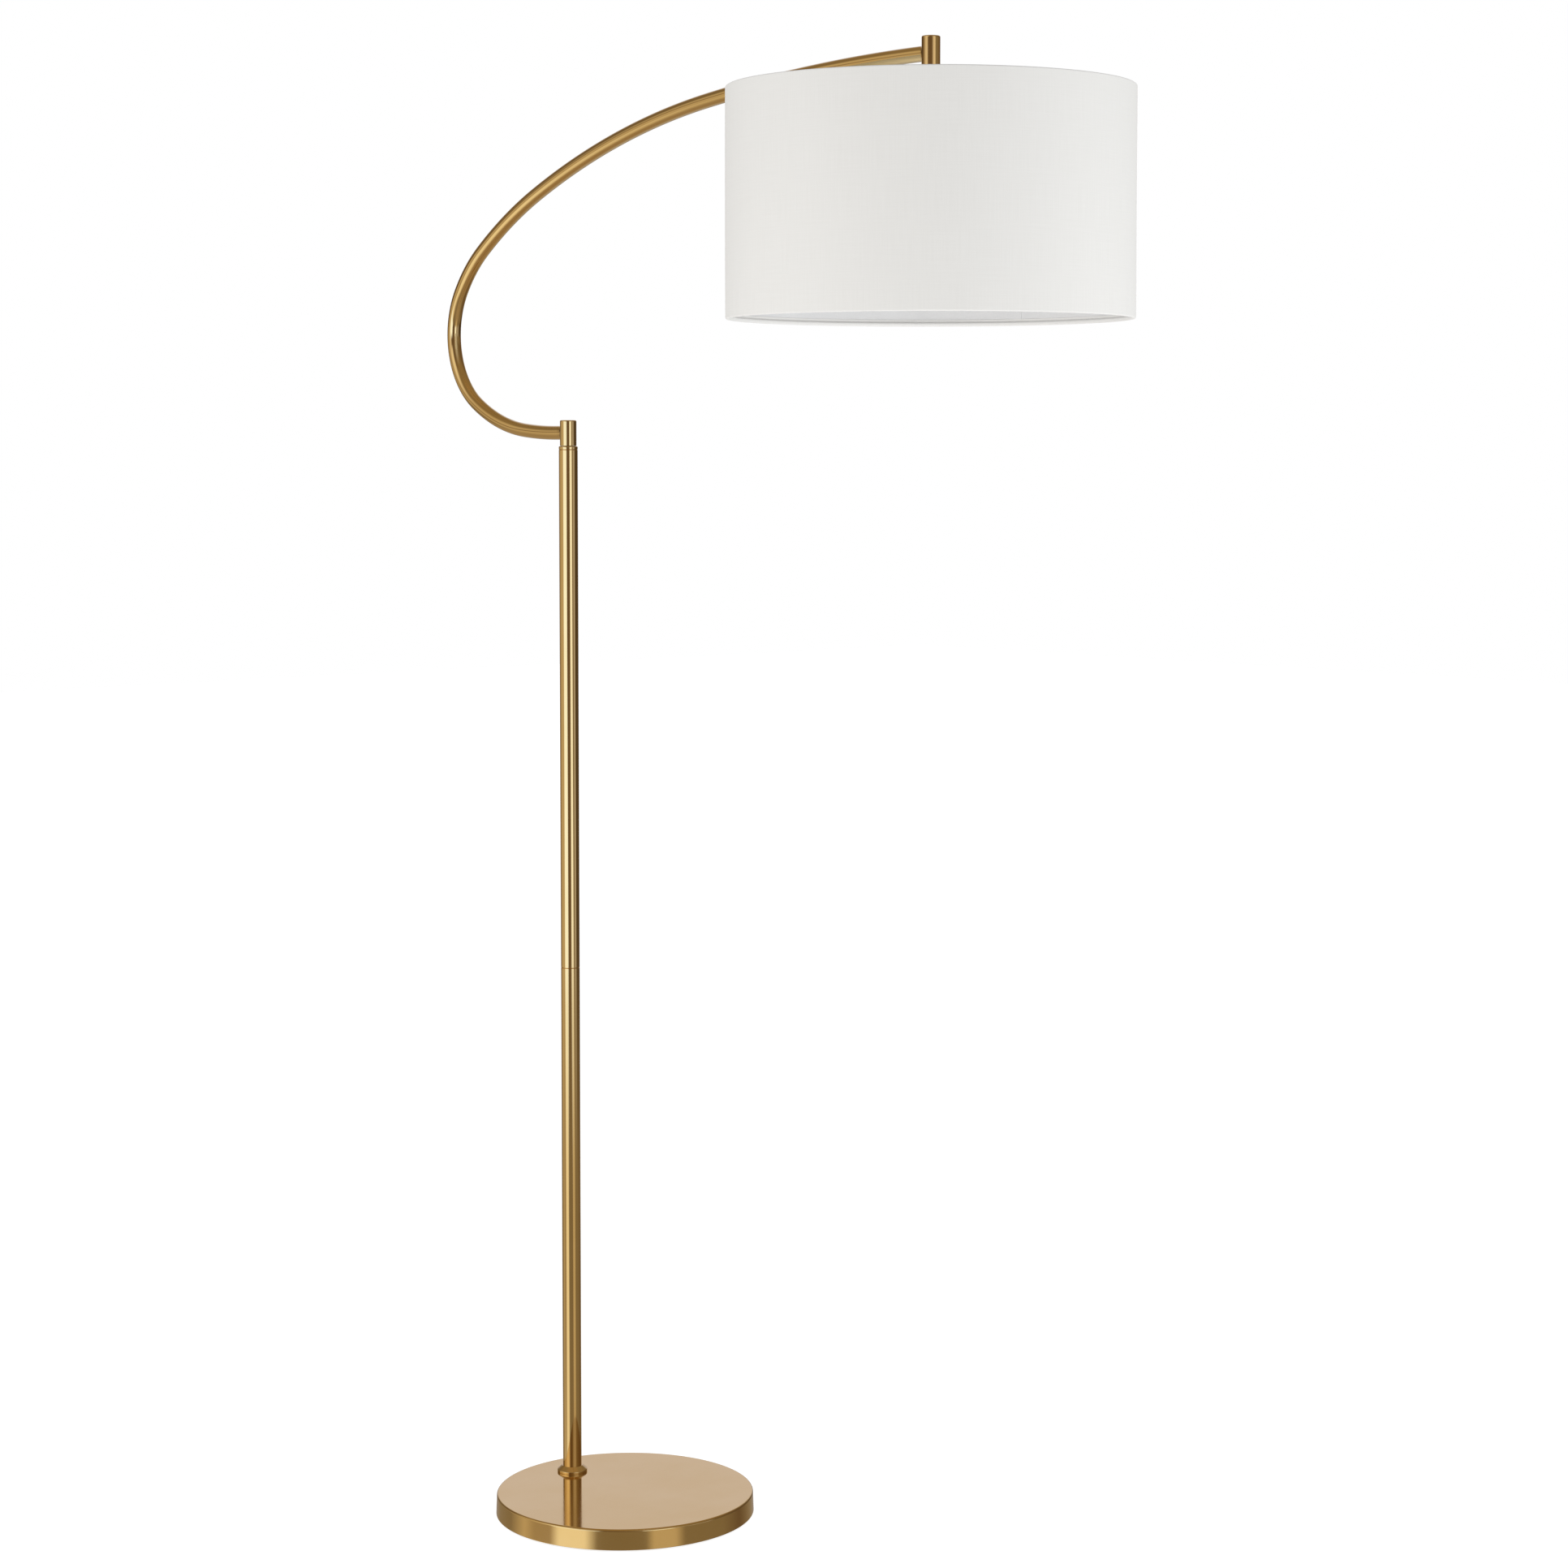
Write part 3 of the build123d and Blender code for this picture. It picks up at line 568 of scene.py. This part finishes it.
def arm_pieces():
    """The bent tube, seated on its two posts, and the posts."""
    bends, bend_headings, ovals = arm_line()
    run_start = POLE_X - KNUCKLE_RADIUS - FIRST_RING_AWAY
    first_run = [(x, ARM_Z) for x in np.linspace(run_start, bends[0][0], 4)[:-1]]
    centre_line = first_run + bends
    headings = [math.pi] * len(first_run) + bend_headings
    ovals = [0.0] * len(first_run) + ovals
    directions = [np.array([math.cos(heading), math.sin(heading)]) for heading in headings]
    widths = [ARM_RADIUS * (1 + oval) for oval in ovals]
    heights = [ARM_RADIUS * (1 - oval * OVAL_LOSS) for oval in ovals]
    knuckle_seat = seat_rings(POLE_X, ARM_Z, KNUCKLE_RADIUS, -1)
    fitting_seat = seat_rings(SHADE_X, bends[-1][1], FITTING_RADIUS, 1)
    tube = tube_rings(centre_line, directions, widths, heights, TUBE_SIDES)
    rings = knuckle_seat + tube + fitting_seat[::-1]
    points = np.concatenate(rings)
    angle = np.linspace(0, TURN, TUBE_SIDES, endpoint=False)
    centres = np.array([ring.mean(axis=0) for ring in rings])
    along = np.concatenate([[0], np.cumsum(np.linalg.norm(np.diff(centres, axis=0), axis=1))])
    u, v = np.meshgrid(angle * ARM_RADIUS, along)
    uv = np.stack([u, v], axis=2).reshape(-1, 2)
    faces = grid_faces(len(rings), TUBE_SIDES, False, True)
    faces.append(list(range(TUBE_SIDES)))
    faces.append(list(range(len(points) - TUBE_SIDES, len(points))))
    new_piece("arm_bent_tube", points, faces, "arm", MATERIALS["polished_brass"],
              ["arm_tube"], 50, uv, TURN * ARM_RADIUS)
    arm_post("arm_knuckle", KNUCKLE_RADIUS, POLE_X)
    arm_post("arm_end_fitting", FITTING_RADIUS, SHADE_X)


def arm_post(node, radius, x):
    """An upright post, bored from below."""
    bottom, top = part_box(node)
    outline = rounded([
        (POST_BORE, bottom.z, 0),
        (radius, bottom.z, POST_FOOT_EDGE),
        (radius, top.z, POST_TOP_EDGE),
        (0, top.z, 0),
        (0, top.z - POST_ROOF, 0),
        (POST_BORE, top.z - POST_ROOF, 0),
    ], 6)
    turned(f"{node}_post", divided(outline, 2 * MM), x, "arm",
           MATERIALS["polished_brass"], [node])


# ---------------------------------------------------------------- shade
SEAM_ANGLE = math.radians(109.8)    # where the shade's cloth and lining overlap, from +X
SEAM_SOFTNESS = 0.15 * MM           # across which an overlap's edge falls off
SEAM_OFFSETS = (-0.3 * MM, -0.1 * MM, 0.1 * MM, 0.3 * MM)   # extra points at each of its edges
SEAM_CLEARANCE = 0.5 * MM           # how far the even points keep from those
DRUM_SEGMENTS = 288
CLOTH = 0.5 * MM                    # thickness of the cloth
LINING = 0.4 * MM                   # and of the lining
CLOTH_INSET = 0.15 * MM             # all the cloth is drawn in by this, to leave room for its slack
CLOTH_OVERLAP = 12 * MM
CLOTH_STEP = 0.3 * MM               # how far the overlap stands up
LINING_OVERLAP = 13 * MM
LINING_STEP = 0.35 * MM
LINING_DEPTH = 0.6 * MM             # from the cloth's outer face to the lining's, before the inset
LINING_OUTSIDE = 0.7 * MM           # from the shade's radius to the lining's outer face
HEM_HEIGHT = 7 * MM                 # from the rim to the hem's cut edge
HEM_ROLL = 4.0 * MM                 # how far the cloth is rolled in over the rim wire
HEM_LIFT = 4.9 * MM                 # height at which the hem comes to lie on the lining
OUTER_FACE = 0.3 * MM               # points nearer the shade's radius than this step out at the overlap
OUTER_FACE_BLEND = 0.2 * MM
SLACK_WAVES = ((0.12, 5, 0.6), (0.09, 11, 2.1), (0.06, 23, 0.0))    # mm, waves round, start in radians


def seam_step(theta, width, height):
    """How far an overlap stands up: `height` across `width` metres at the seam, falling off at both edges."""
    away = np.abs((theta - SEAM_ANGLE + math.pi) % TURN - math.pi) * SHADE_RADIUS
    return height * np.clip((width / 2 - away) / SEAM_SOFTNESS + 0.5, 0, 1)


def drum_angles(width):
    """Angles once round the drum from the overlap's far edge, with extra ones at both its edges."""
    half_width = width / 2 / SHADE_RADIUS
    start = SEAM_ANGLE + half_width
    end = start + TURN
    even = np.linspace(start, end, DRUM_SEGMENTS, endpoint=False)
    extra = []
    for edge in (start + (TURN - 2 * half_width), end):
        for offset in SEAM_OFFSETS:
            angle = edge + offset / SHADE_RADIUS
            extra.append(angle - TURN if angle > end else angle)
    away = np.abs(even[:, None] - np.array(extra)[None, :]).min(axis=1)
    return np.sort(np.concatenate([even[away > SEAM_CLEARANCE / SHADE_RADIUS], extra]))


def shade_cloth():
    """The drum's cloth, one strip: the outer wall, turned in over both rim wires and laid on the lining."""
    outer = SHADE_RADIUS
    lining_face = outer - LINING_DEPTH - LINING
    roll_inside = outer - CLOTH - HEM_ROLL
    # The strip's two faces at a hem, as (radius, height from the rim, rounding).
    outside = [
        (lining_face - CLOTH, HEM_HEIGHT, 0.2 * MM),
        (lining_face - CLOTH, HEM_LIFT, 0.8 * MM),
        (roll_inside, HEM_LIFT - 1.6 * MM, 1.3 * MM),
        (roll_inside, 0, 1.6 * MM),
        (outer, 0, 1.1 * MM),
    ]
    inside = [
        (outer - CLOTH, CLOTH, 0.6 * MM),
        (outer - HEM_ROLL, CLOTH, 1.1 * MM),
        (outer - HEM_ROLL, HEM_LIFT - 2.0 * MM, 0.9 * MM),
        (lining_face, HEM_LIFT - 0.4 * MM, 0.3 * MM),
        (lining_face, HEM_HEIGHT, 0),
    ]
    bottom_outside = [(r, SHADE_BOTTOM + z, rounding) for r, z, rounding in outside]
    bottom_inside = [(r, SHADE_BOTTOM + z, rounding) for r, z, rounding in inside]
    top_outside = [(r, SHADE_TOP - z, rounding) for r, z, rounding in reversed(outside)]
    top_inside = [(r, SHADE_TOP - z, rounding) for r, z, rounding in reversed(inside)]
    corners = bottom_outside + top_outside + top_inside + bottom_inside
    outline = divided(rounded(corners, 4), 6 * MM)

    def shape(theta, r, z):
        """The overlap stands out on the outer face, and all the cloth follows the slack."""
        on_outer_face = np.clip((r - (outer - OUTER_FACE)) / OUTER_FACE_BLEND, 0, 1)
        r = r + on_outer_face * seam_step(theta, CLOTH_OVERLAP, CLOTH_STEP)
        slack = sum(height * np.sin(waves * theta + start) for height, waves, start in SLACK_WAVES)
        r = r + slack * MM * np.sin(math.pi * (z - SHADE_BOTTOM) / (SHADE_TOP - SHADE_BOTTOM))
        return r - CLOTH_INSET, z

    cloth = turned("shade_cloth", outline, SHADE_X, "shade", MATERIALS["shade_linen"],
                   ["shade_fabric", "shade_top_hem", "shade_bottom_hem"], shape=shape,
                   angles=drum_angles(CLOTH_OVERLAP), sharp=60)


def shade_lining():
    """The stiff lining that the cloth is laminated to, with its overlap on the inside."""
    outer = SHADE_RADIUS - LINING_OUTSIDE
    inner = outer - LINING
    bottom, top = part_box("shade_liner")
    corners = [(inner, bottom.z), (outer, bottom.z), (outer, top.z), (inner, top.z)]

    def shape(theta, r, z):
        on_inner_face = np.where(r < outer - LINING / 2, 1.0, 0.0)
        return r - on_inner_face * seam_step(theta, LINING_OVERLAP, LINING_STEP), z

    turned("shade_lining_drum", divided(corners, 8 * MM), SHADE_X, "shade",
           MATERIALS["shade_lining"], ["shade_liner"], shape=shape, angles=drum_angles(LINING_OVERLAP),
           sharp=60)


# ---------------------------------------------------------------- lampholder and bulb
BARREL_RADIUS = 19.75 * MM
BARREL_BORE = 15.2 * MM
BARREL_ROOF = 1500 * MM         # height of the underside of its top wall
BARREL_EDGE = 1.0 * MM
BARREL_INNER_EDGE = 0.8 * MM
SHOULDER_DEPTH = 3 * MM
SHOULDER_EDGES = (0.5 * MM, 0.6 * MM)
BARREL_THREAD_INSIDE = 17 * MM  # the thread is cut only between these two radii
BARREL_THREAD_OUTSIDE = 20 * MM
BARREL_PITCH = 2.5 * MM
BARREL_THREAD_DEPTH = 0.9 * MM
BARREL_THREAD_START = 1 * MM    # above the barrel's foot
DOME_BORE = 17.2 * MM
DOME_EDGE = 0.5 * MM
DOME_ROUNDING = 8.5 * MM
DOME_TOP = 11.0 * MM            # radius of its flat top
DOME_TOP_EDGE = 0.8 * MM
DOME_PIPE_HOLE = 5.0 * MM
DOME_SHOULDER = 1 * MM          # depths below its top
DOME_HOLE_DEPTH = 3 * MM
DOME_ROOF = 7 * MM
CAP_BORE = 12.4 * MM
CAP_RADIUS = 13.0 * MM
CAP_WALL = 0.5 * MM             # at its closed end
CAP_EDGE = 2.0 * MM
CAP_INNER_EDGE = 1.5 * MM
CAP_FOOT = 0.2 * MM
CAP_THREAD_INSIDE = 12.7 * MM
CAP_PITCH = 3.6 * MM
CAP_THREAD_DEPTH = 0.85 * MM
CAP_THREAD_ENDS = (2 * MM, 1.5 * MM)    # above the cap's foot and below its top
BULB_RADIUS = 30 * MM
BULB_NECK = 12.5 * MM
BULB_WALL = 0.9 * MM
BULB_ROUND = math.radians(36)   # how far above its widest line the glass stays part of a ball
NECK_EVEN = 0.35                # share of the neck's rise that goes evenly; the rest starts slowly


def threaded(theta, r, z, inside, pitch, depth, start, end):
    """Radii pressed into a round-bottomed thread wherever a point lies outside `inside`."""
    wave = 0.5 - 0.5 * np.cos(TURN * z / pitch - theta)
    fade = np.clip(np.minimum(z - start, end - z) / pitch, 0, 1)
    return np.where(r > inside, r - depth * wave * fade, r)


def lampholder_barrel():
    """The threaded barrel under its shoulder, open below."""
    bottom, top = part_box("lampholder_body")
    shoulder = (top.y - bottom.y) / 2
    shoulder_z = top.z - SHOULDER_DEPTH
    outline = rounded([
        (BARREL_BORE, bottom.z, BARREL_INNER_EDGE),
        (BARREL_RADIUS, bottom.z, BARREL_EDGE),
        (BARREL_RADIUS, shoulder_z, 0),
        (shoulder, shoulder_z, SHOULDER_EDGES[0]),
        (shoulder, top.z, SHOULDER_EDGES[1]),
        (0, top.z, 0),
        (0, BARREL_ROOF, 0),
        (BARREL_BORE, BARREL_ROOF, 0),
    ], 4)

    def thread(theta, r, z):
        on_barrel = (r > BARREL_THREAD_INSIDE) & (r < BARREL_THREAD_OUTSIDE)
        cut = threaded(theta, r, z, BARREL_THREAD_INSIDE, BARREL_PITCH, BARREL_THREAD_DEPTH,
                       bottom.z + BARREL_THREAD_START, shoulder_z)
        return np.where(on_barrel, cut, r), z

    turned("lampholder_barrel", divided(outline, 0.35 * MM), SHADE_X, "arm",
           MATERIALS["phenolic"], ["lampholder_body"], 72, shape=thread, sharp=60)


def lampholder_dome():
    """The domed cap over the lampholder, with a hole for the pipe."""
    bottom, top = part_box("lampholder_cap")
    outline = rounded([
        (DOME_BORE, bottom.z, 0),
        (top.y, bottom.z, DOME_EDGE),
        (top.y, top.z - DOME_SHOULDER, DOME_ROUNDING),
        (DOME_TOP, top.z, DOME_TOP_EDGE),
        (DOME_PIPE_HOLE, top.z, 0),
        (DOME_PIPE_HOLE, top.z - DOME_HOLE_DEPTH, 0),
        (DOME_BORE, top.z - DOME_ROOF, 0),
    ], 8)
    turned("lampholder_dome", divided(outline, 1 * MM), SHADE_X, "arm",
           MATERIALS["phenolic"], ["lampholder_cap"])


def bulb_cap():
    """The bulb's screw cap, closed at its top."""
    bottom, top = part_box("bulb_cap")
    outline = rounded([
        (0, top.z - CAP_WALL, 0),
        (CAP_BORE, top.z - CAP_WALL, CAP_INNER_EDGE),
        (CAP_BORE, bottom.z, 0),
        (CAP_RADIUS, bottom.z, CAP_FOOT),
        (CAP_RADIUS, top.z, CAP_EDGE),
        (0, top.z, 0),
    ], 5)

    def thread(theta, r, z):
        return threaded(theta, r, z, CAP_THREAD_INSIDE, CAP_PITCH, CAP_THREAD_DEPTH,
                        bottom.z + CAP_THREAD_ENDS[0], top.z - CAP_THREAD_ENDS[1]), z

    turned("bulb_screw_cap", divided(outline, 0.4 * MM), SHADE_X, "bulb",
           MATERIALS["bulb_aluminium"], ["bulb_cap"], 72, shape=thread, sharp=60)


def bulb_glass():
    """A ball that runs up into a neck, with a thin wall."""
    bottom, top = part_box("bulb_glass")
    centre_z = bottom.z + BULB_RADIUS
    outside = [(BULB_RADIUS * math.sin(angle), centre_z - BULB_RADIUS * math.cos(angle))
               for angle in np.linspace(0, math.pi / 2 + BULB_ROUND, 40)]
    waist_r, waist_z = outside[-1]
    for part in np.linspace(0, 1, 24)[1:]:
        r = BULB_NECK + (waist_r - BULB_NECK) * (1 - part) ** 2
        slow = math.sin(part * math.pi / 2) * part
        outside.append((r, waist_z + (top.z - waist_z) * (NECK_EVEN * part + (1 - NECK_EVEN) * slow)))
    inside = [(max(r - BULB_WALL, 0), z + (BULB_WALL if r < 1 * MM else 0)) for r, z in reversed(outside)]
    turned("bulb_opal_glass", outside + inside, SHADE_X, "bulb", MATERIALS["opal_glass"],
           ["bulb_glass"], sharp=70)


# ---------------------------------------------------------------- room, light and camera
CAMERA_AT = Vector((2.8704, -2.3188, 1.1631))
CAMERA_TURN = math.radians(48.349)      # looking this far round from +Y towards -X
CAMERA_DIP = math.radians(3.713)
CAMERA_LENS = 78.17
CAMERA_SHIFT = -0.07
CAMERA_REACH = 50


def make_camera():
    camera = bpy.data.objects.new("camera", bpy.data.cameras.new("camera"))
    camera.data.sensor_width = 36
    camera.data.lens = CAMERA_LENS
    camera.data.shift_y = CAMERA_SHIFT
    camera.data.clip_end = CAMERA_REACH
    camera.location = CAMERA_AT
    camera.rotation_euler = (math.pi / 2 - CAMERA_DIP, 0, CAMERA_TURN)
    bpy.context.scene.collection.objects.link(camera)
    bpy.context.scene.camera = camera


FLOOR_SIZE = 24
FLOOR_DROP = 0.2 * MM
FLOOR_GLOW = 0.82       # brings the floor to white where the lights leave it pale grey


def make_floor():
    """A plain pale floor, a hair below the foot pad. It isn't mirrored and lights nothing."""
    bpy.ops.mesh.primitive_plane_add(size=FLOOR_SIZE, location=(0, 0, -FLOOR_DROP))
    floor = bpy.context.object
    floor.name = "studio_floor"
    floor.visible_glossy = False
    floor.visible_diffuse = False
    m = Nodes("studio_floor")
    speckle = m.noise(m.place("Object", (1, 1, 1)), 40.0, 2.0, 0.5)
    m.join(m.tint(speckle, (0.48, 0.48, 0.48), (0.52, 0.52, 0.52)), m.shader.inputs["Base Color"])
    m.set(Roughness=0.9, Specular_IOR_Level=0.1, Emission_Color=(1, 1, 1, 1),
          Emission_Strength=FLOOR_GLOW)
    floor.data.materials.append(m.material)


# What the brass mirrors: a dim warm room with a softbox on each side of the camera, and white paper
# behind the lamp. Each tone is in units of WALL_LIGHT.
WALL_LIGHT = 1.8
NIGHT = (0.05, 0.035, 0.02)
DUSK = (0.09, 0.06, 0.035)
DIM = (0.14, 0.11, 0.07)
WARM = (0.22, 0.17, 0.11)
AMBER = (0.33, 0.27, 0.18)
PALE = (0.45, 0.40, 0.34)
BRIGHT = (0.56, 0.52, 0.43)
GREY = (0.17, 0.15, 0.15)
MIST = (0.27, 0.25, 0.24)
PAPER = (0.385, 0.36, 0.385)
LEFT_SOFTBOX = (0.68, 0.78, 0.93)
RIGHT_SOFTBOX = (0.64, 0.69, 0.76)

# Five bands of wall, from the lowest up. Each stop is the degrees round from the camera's side, +
# to its right, and the tone there; the tones run into one another in between.
LOWEST_WALLS = (
    (-180, MIST), (-150, WARM), (-112, WARM), (-100, AMBER), (-85, BRIGHT), (-42, BRIGHT), (-22, WARM),
    (-3, DIM), (22, WARM), (53, WARM), (84, DIM), (105, DUSK), (128, DUSK), (150, WARM), (180, MIST),
)
LOW_WALLS = (
    (-180, GREY), (-145, DIM), (-120, DIM), (-98, AMBER), (-85, WARM), (-67, WARM), (-58, BRIGHT),
    (-33, BRIGHT), (-22, DIM), (21, DIM), (28, AMBER), (48, AMBER), (57, DIM), (100, DIM), (125, DUSK),
    (150, DIM), (180, GREY),
)
LEVEL_WALLS = (
    (-180, GREY), (-140, DIM), (-122, WARM), (-100, AMBER), (-67, AMBER), (-60, LEFT_SOFTBOX),
    (-22, LEFT_SOFTBOX), (-17, DUSK), (17, DUSK), (20, RIGHT_SOFTBOX), (43, RIGHT_SOFTBOX), (48, DIM),
    (58, DIM), (64, MIST), (82, MIST), (88, NIGHT), (150, NIGHT), (180, GREY),
)
HIGH_WALLS = (
    (-180, PAPER), (-165, PAPER), (-150, DUSK), (-130, NIGHT), (-113, DUSK), (-90, WARM), (-68, PALE),
    (-47, PALE), (-36, DUSK), (10, DUSK), (33, PALE), (49, PALE), (63, DIM), (95, DIM), (115, DUSK),
    (150, DUSK), (165, PAPER), (180, PAPER),
)
HIGHEST_WALLS = (
    (-180, PAPER), (-165, PAPER), (-150, DIM), (-126, DUSK), (-113, DIM), (-102, AMBER), (-88, AMBER),
    (-70, PALE), (-52, BRIGHT), (-32, PALE), (-20, DUSK), (-8, DUSK), (10, DIM), (24, MIST), (46, MIST),
    (57, DIM), (100, DUSK), (125, DUSK), (150, DIM), (165, PAPER), (180, PAPER),
)
# Where each band takes over from what is below it, from one height to another, in degrees above the
# horizon. The ceiling, the zenith and the change in the soft light are given the same way.
WALL_BANDS = (
    (-66, -42, LOWEST_WALLS),
    (-21, -15, LOW_WALLS),
    (-12, -8, LEVEL_WALLS),
    (0, 5, HIGH_WALLS),
    (9, 13, HIGHEST_WALLS),
)
STUDIO_FLOOR = (0.20, 0.14, 0.08)
STUDIO_CEILING = (0.16, 0.115, 0.06)
CEILING_BEGINS = (26, 44)
STUDIO_ZENITH = (0.20, 0.135, 0.065)
ZENITH_BEGINS = (60, 75)
SOFT_FROM_BELOW = (0.655, 0.655, 0.655)     # the even light on what is matt
SOFT_FROM_ABOVE = (0.56, 0.56, 0.56)
SOFT_CHANGES = (-30, 30)
WHITE = (1.0, 1.0, 1.0)


class World(Nodes):
    """The world's nodes, with the same short ways to add and join them."""

    def __init__(self):
        self.world = bpy.data.worlds.new("studio")
        self.world.use_nodes = True
        self.world.cycles.sampling_method = "NONE"
        self.tree = self.world.node_tree
        self.sight = self.add("ShaderNodeTexCoord").outputs["Generated"]

    def along(self, direction):
        node = self.add("ShaderNodeVectorMath", operation="DOT_PRODUCT")
        self.join(self.sight, node.inputs[0])
        node.inputs[1].default_value = direction
        return node.outputs["Value"]

    def wall(self, around, stops):
        """Colours round the room, from behind the lamp, past the camera's left and right, and back."""
        node = self.add("ShaderNodeValToRGB")
        self.join(around, node.inputs["Fac"])
        elements = node.color_ramp.elements
        elements.remove(elements[-1])
        for number, (degrees, colour) in enumerate(stops):
            place = degrees / 360 + 0.5
            element = elements.new(place) if number else elements[0]
            element.position = place
            element.color = (*colour, 1)
        return node.outputs["Color"]

    def above(self, rise, first, last):
        """0 below the first angle above the horizon and 1 above the last, in degrees."""
        return self.spread(rise, math.sin(math.radians(first)), math.sin(math.radians(last)), 0, 1)

    def mixed(self, amount, first, second):
        node = self.add("ShaderNodeMix", data_type="RGBA")
        for key, value in (("Factor", amount), ("A", first), ("B", second)):
            if isinstance(value, tuple):
                node.inputs[key].default_value = (*value, 1)
            else:
                self.join(value, node.inputs[key])
        return node.outputs["Result"]


def make_world():
    """White to the camera, an even soft light on what is matt, and the room on what is glossy."""
    w = World()
    toward = (math.sin(CAMERA_TURN), -math.cos(CAMERA_TURN), 0)
    rightward = (math.cos(CAMERA_TURN), math.sin(CAMERA_TURN), 0)
    turned_by = w.calculate("ARCTAN2", w.along(rightward), w.along(toward))
    around = w.calculate("ADD", w.times(turned_by, 1 / TURN), 0.5)
    rise = w.along((0, 0, 1))
    room = STUDIO_FLOOR
    for first, last, stops in WALL_BANDS:
        room = w.mixed(w.above(rise, first, last), room, w.wall(around, stops))
    room = w.mixed(w.above(rise, *CEILING_BEGINS), room, STUDIO_CEILING)
    room = w.mixed(w.above(rise, *ZENITH_BEGINS), room, STUDIO_ZENITH)
    lit_room = w.add("ShaderNodeVectorMath", operation="SCALE")
    w.join(room, lit_room.inputs[0])
    lit_room.inputs["Scale"].default_value = WALL_LIGHT
    soft = w.mixed(w.above(rise, *SOFT_CHANGES), SOFT_FROM_BELOW, SOFT_FROM_ABOVE)
    rays = w.add("ShaderNodeLightPath")
    unseen = w.mixed(rays.outputs["Is Glossy Ray"], soft, lit_room.outputs["Vector"])
    shown = w.mixed(rays.outputs["Is Camera Ray"], unseen, WHITE)
    w.join(shown, w.tree.nodes["Background"].inputs["Color"])
    bpy.context.scene.world = w.world


SOFTBOX_WIDTH = 1.6
SOFTBOX_HEIGHT = 1.0
SOFTBOX_AIM = Vector((SHADE_X, 0, 1.35))


def softbox(name, place, power, colour):
    """A large soft light that the brass doesn't mirror, aimed at the middle of the shade."""
    light = bpy.data.lights.new(name, "AREA")
    light.shape = "RECTANGLE"
    light.size = SOFTBOX_WIDTH
    light.size_y = SOFTBOX_HEIGHT
    light.energy = power
    light.color = colour
    lamp = bpy.data.objects.new(name, light)
    lamp.location = place
    lamp.rotation_euler = (SOFTBOX_AIM - Vector(place)).to_track_quat("-Z", "Y").to_euler()
    lamp.visible_glossy = False
    lamp.visible_camera = False
    bpy.context.scene.collection.objects.link(lamp)


def make_lights():
    """Three low softboxes round the camera's side, which leave the shade a little lighter at its foot."""
    softbox("right_softbox", (2.3, 1.15, 0.35), 31, (0.97, 0.99, 1.0))
    softbox("front_softbox", (1.9, -1.5, 0.35), 12, (1.0, 0.99, 0.97))
    softbox("left_softbox", (-0.35, -2.1, 0.35), 25, (1.0, 0.985, 0.955))


finish_cad_nodes()
base_pieces()
pole_pieces()
arm_pieces()
shade_cloth()
shade_lining()
lampholder_barrel()
lampholder_dome()
bulb_cap()
bulb_glass()
make_camera()
make_floor()
make_world()
make_lights()
bpy.context.scene.view_settings.view_transform = "Standard"

bpy.context.view_layer.update()
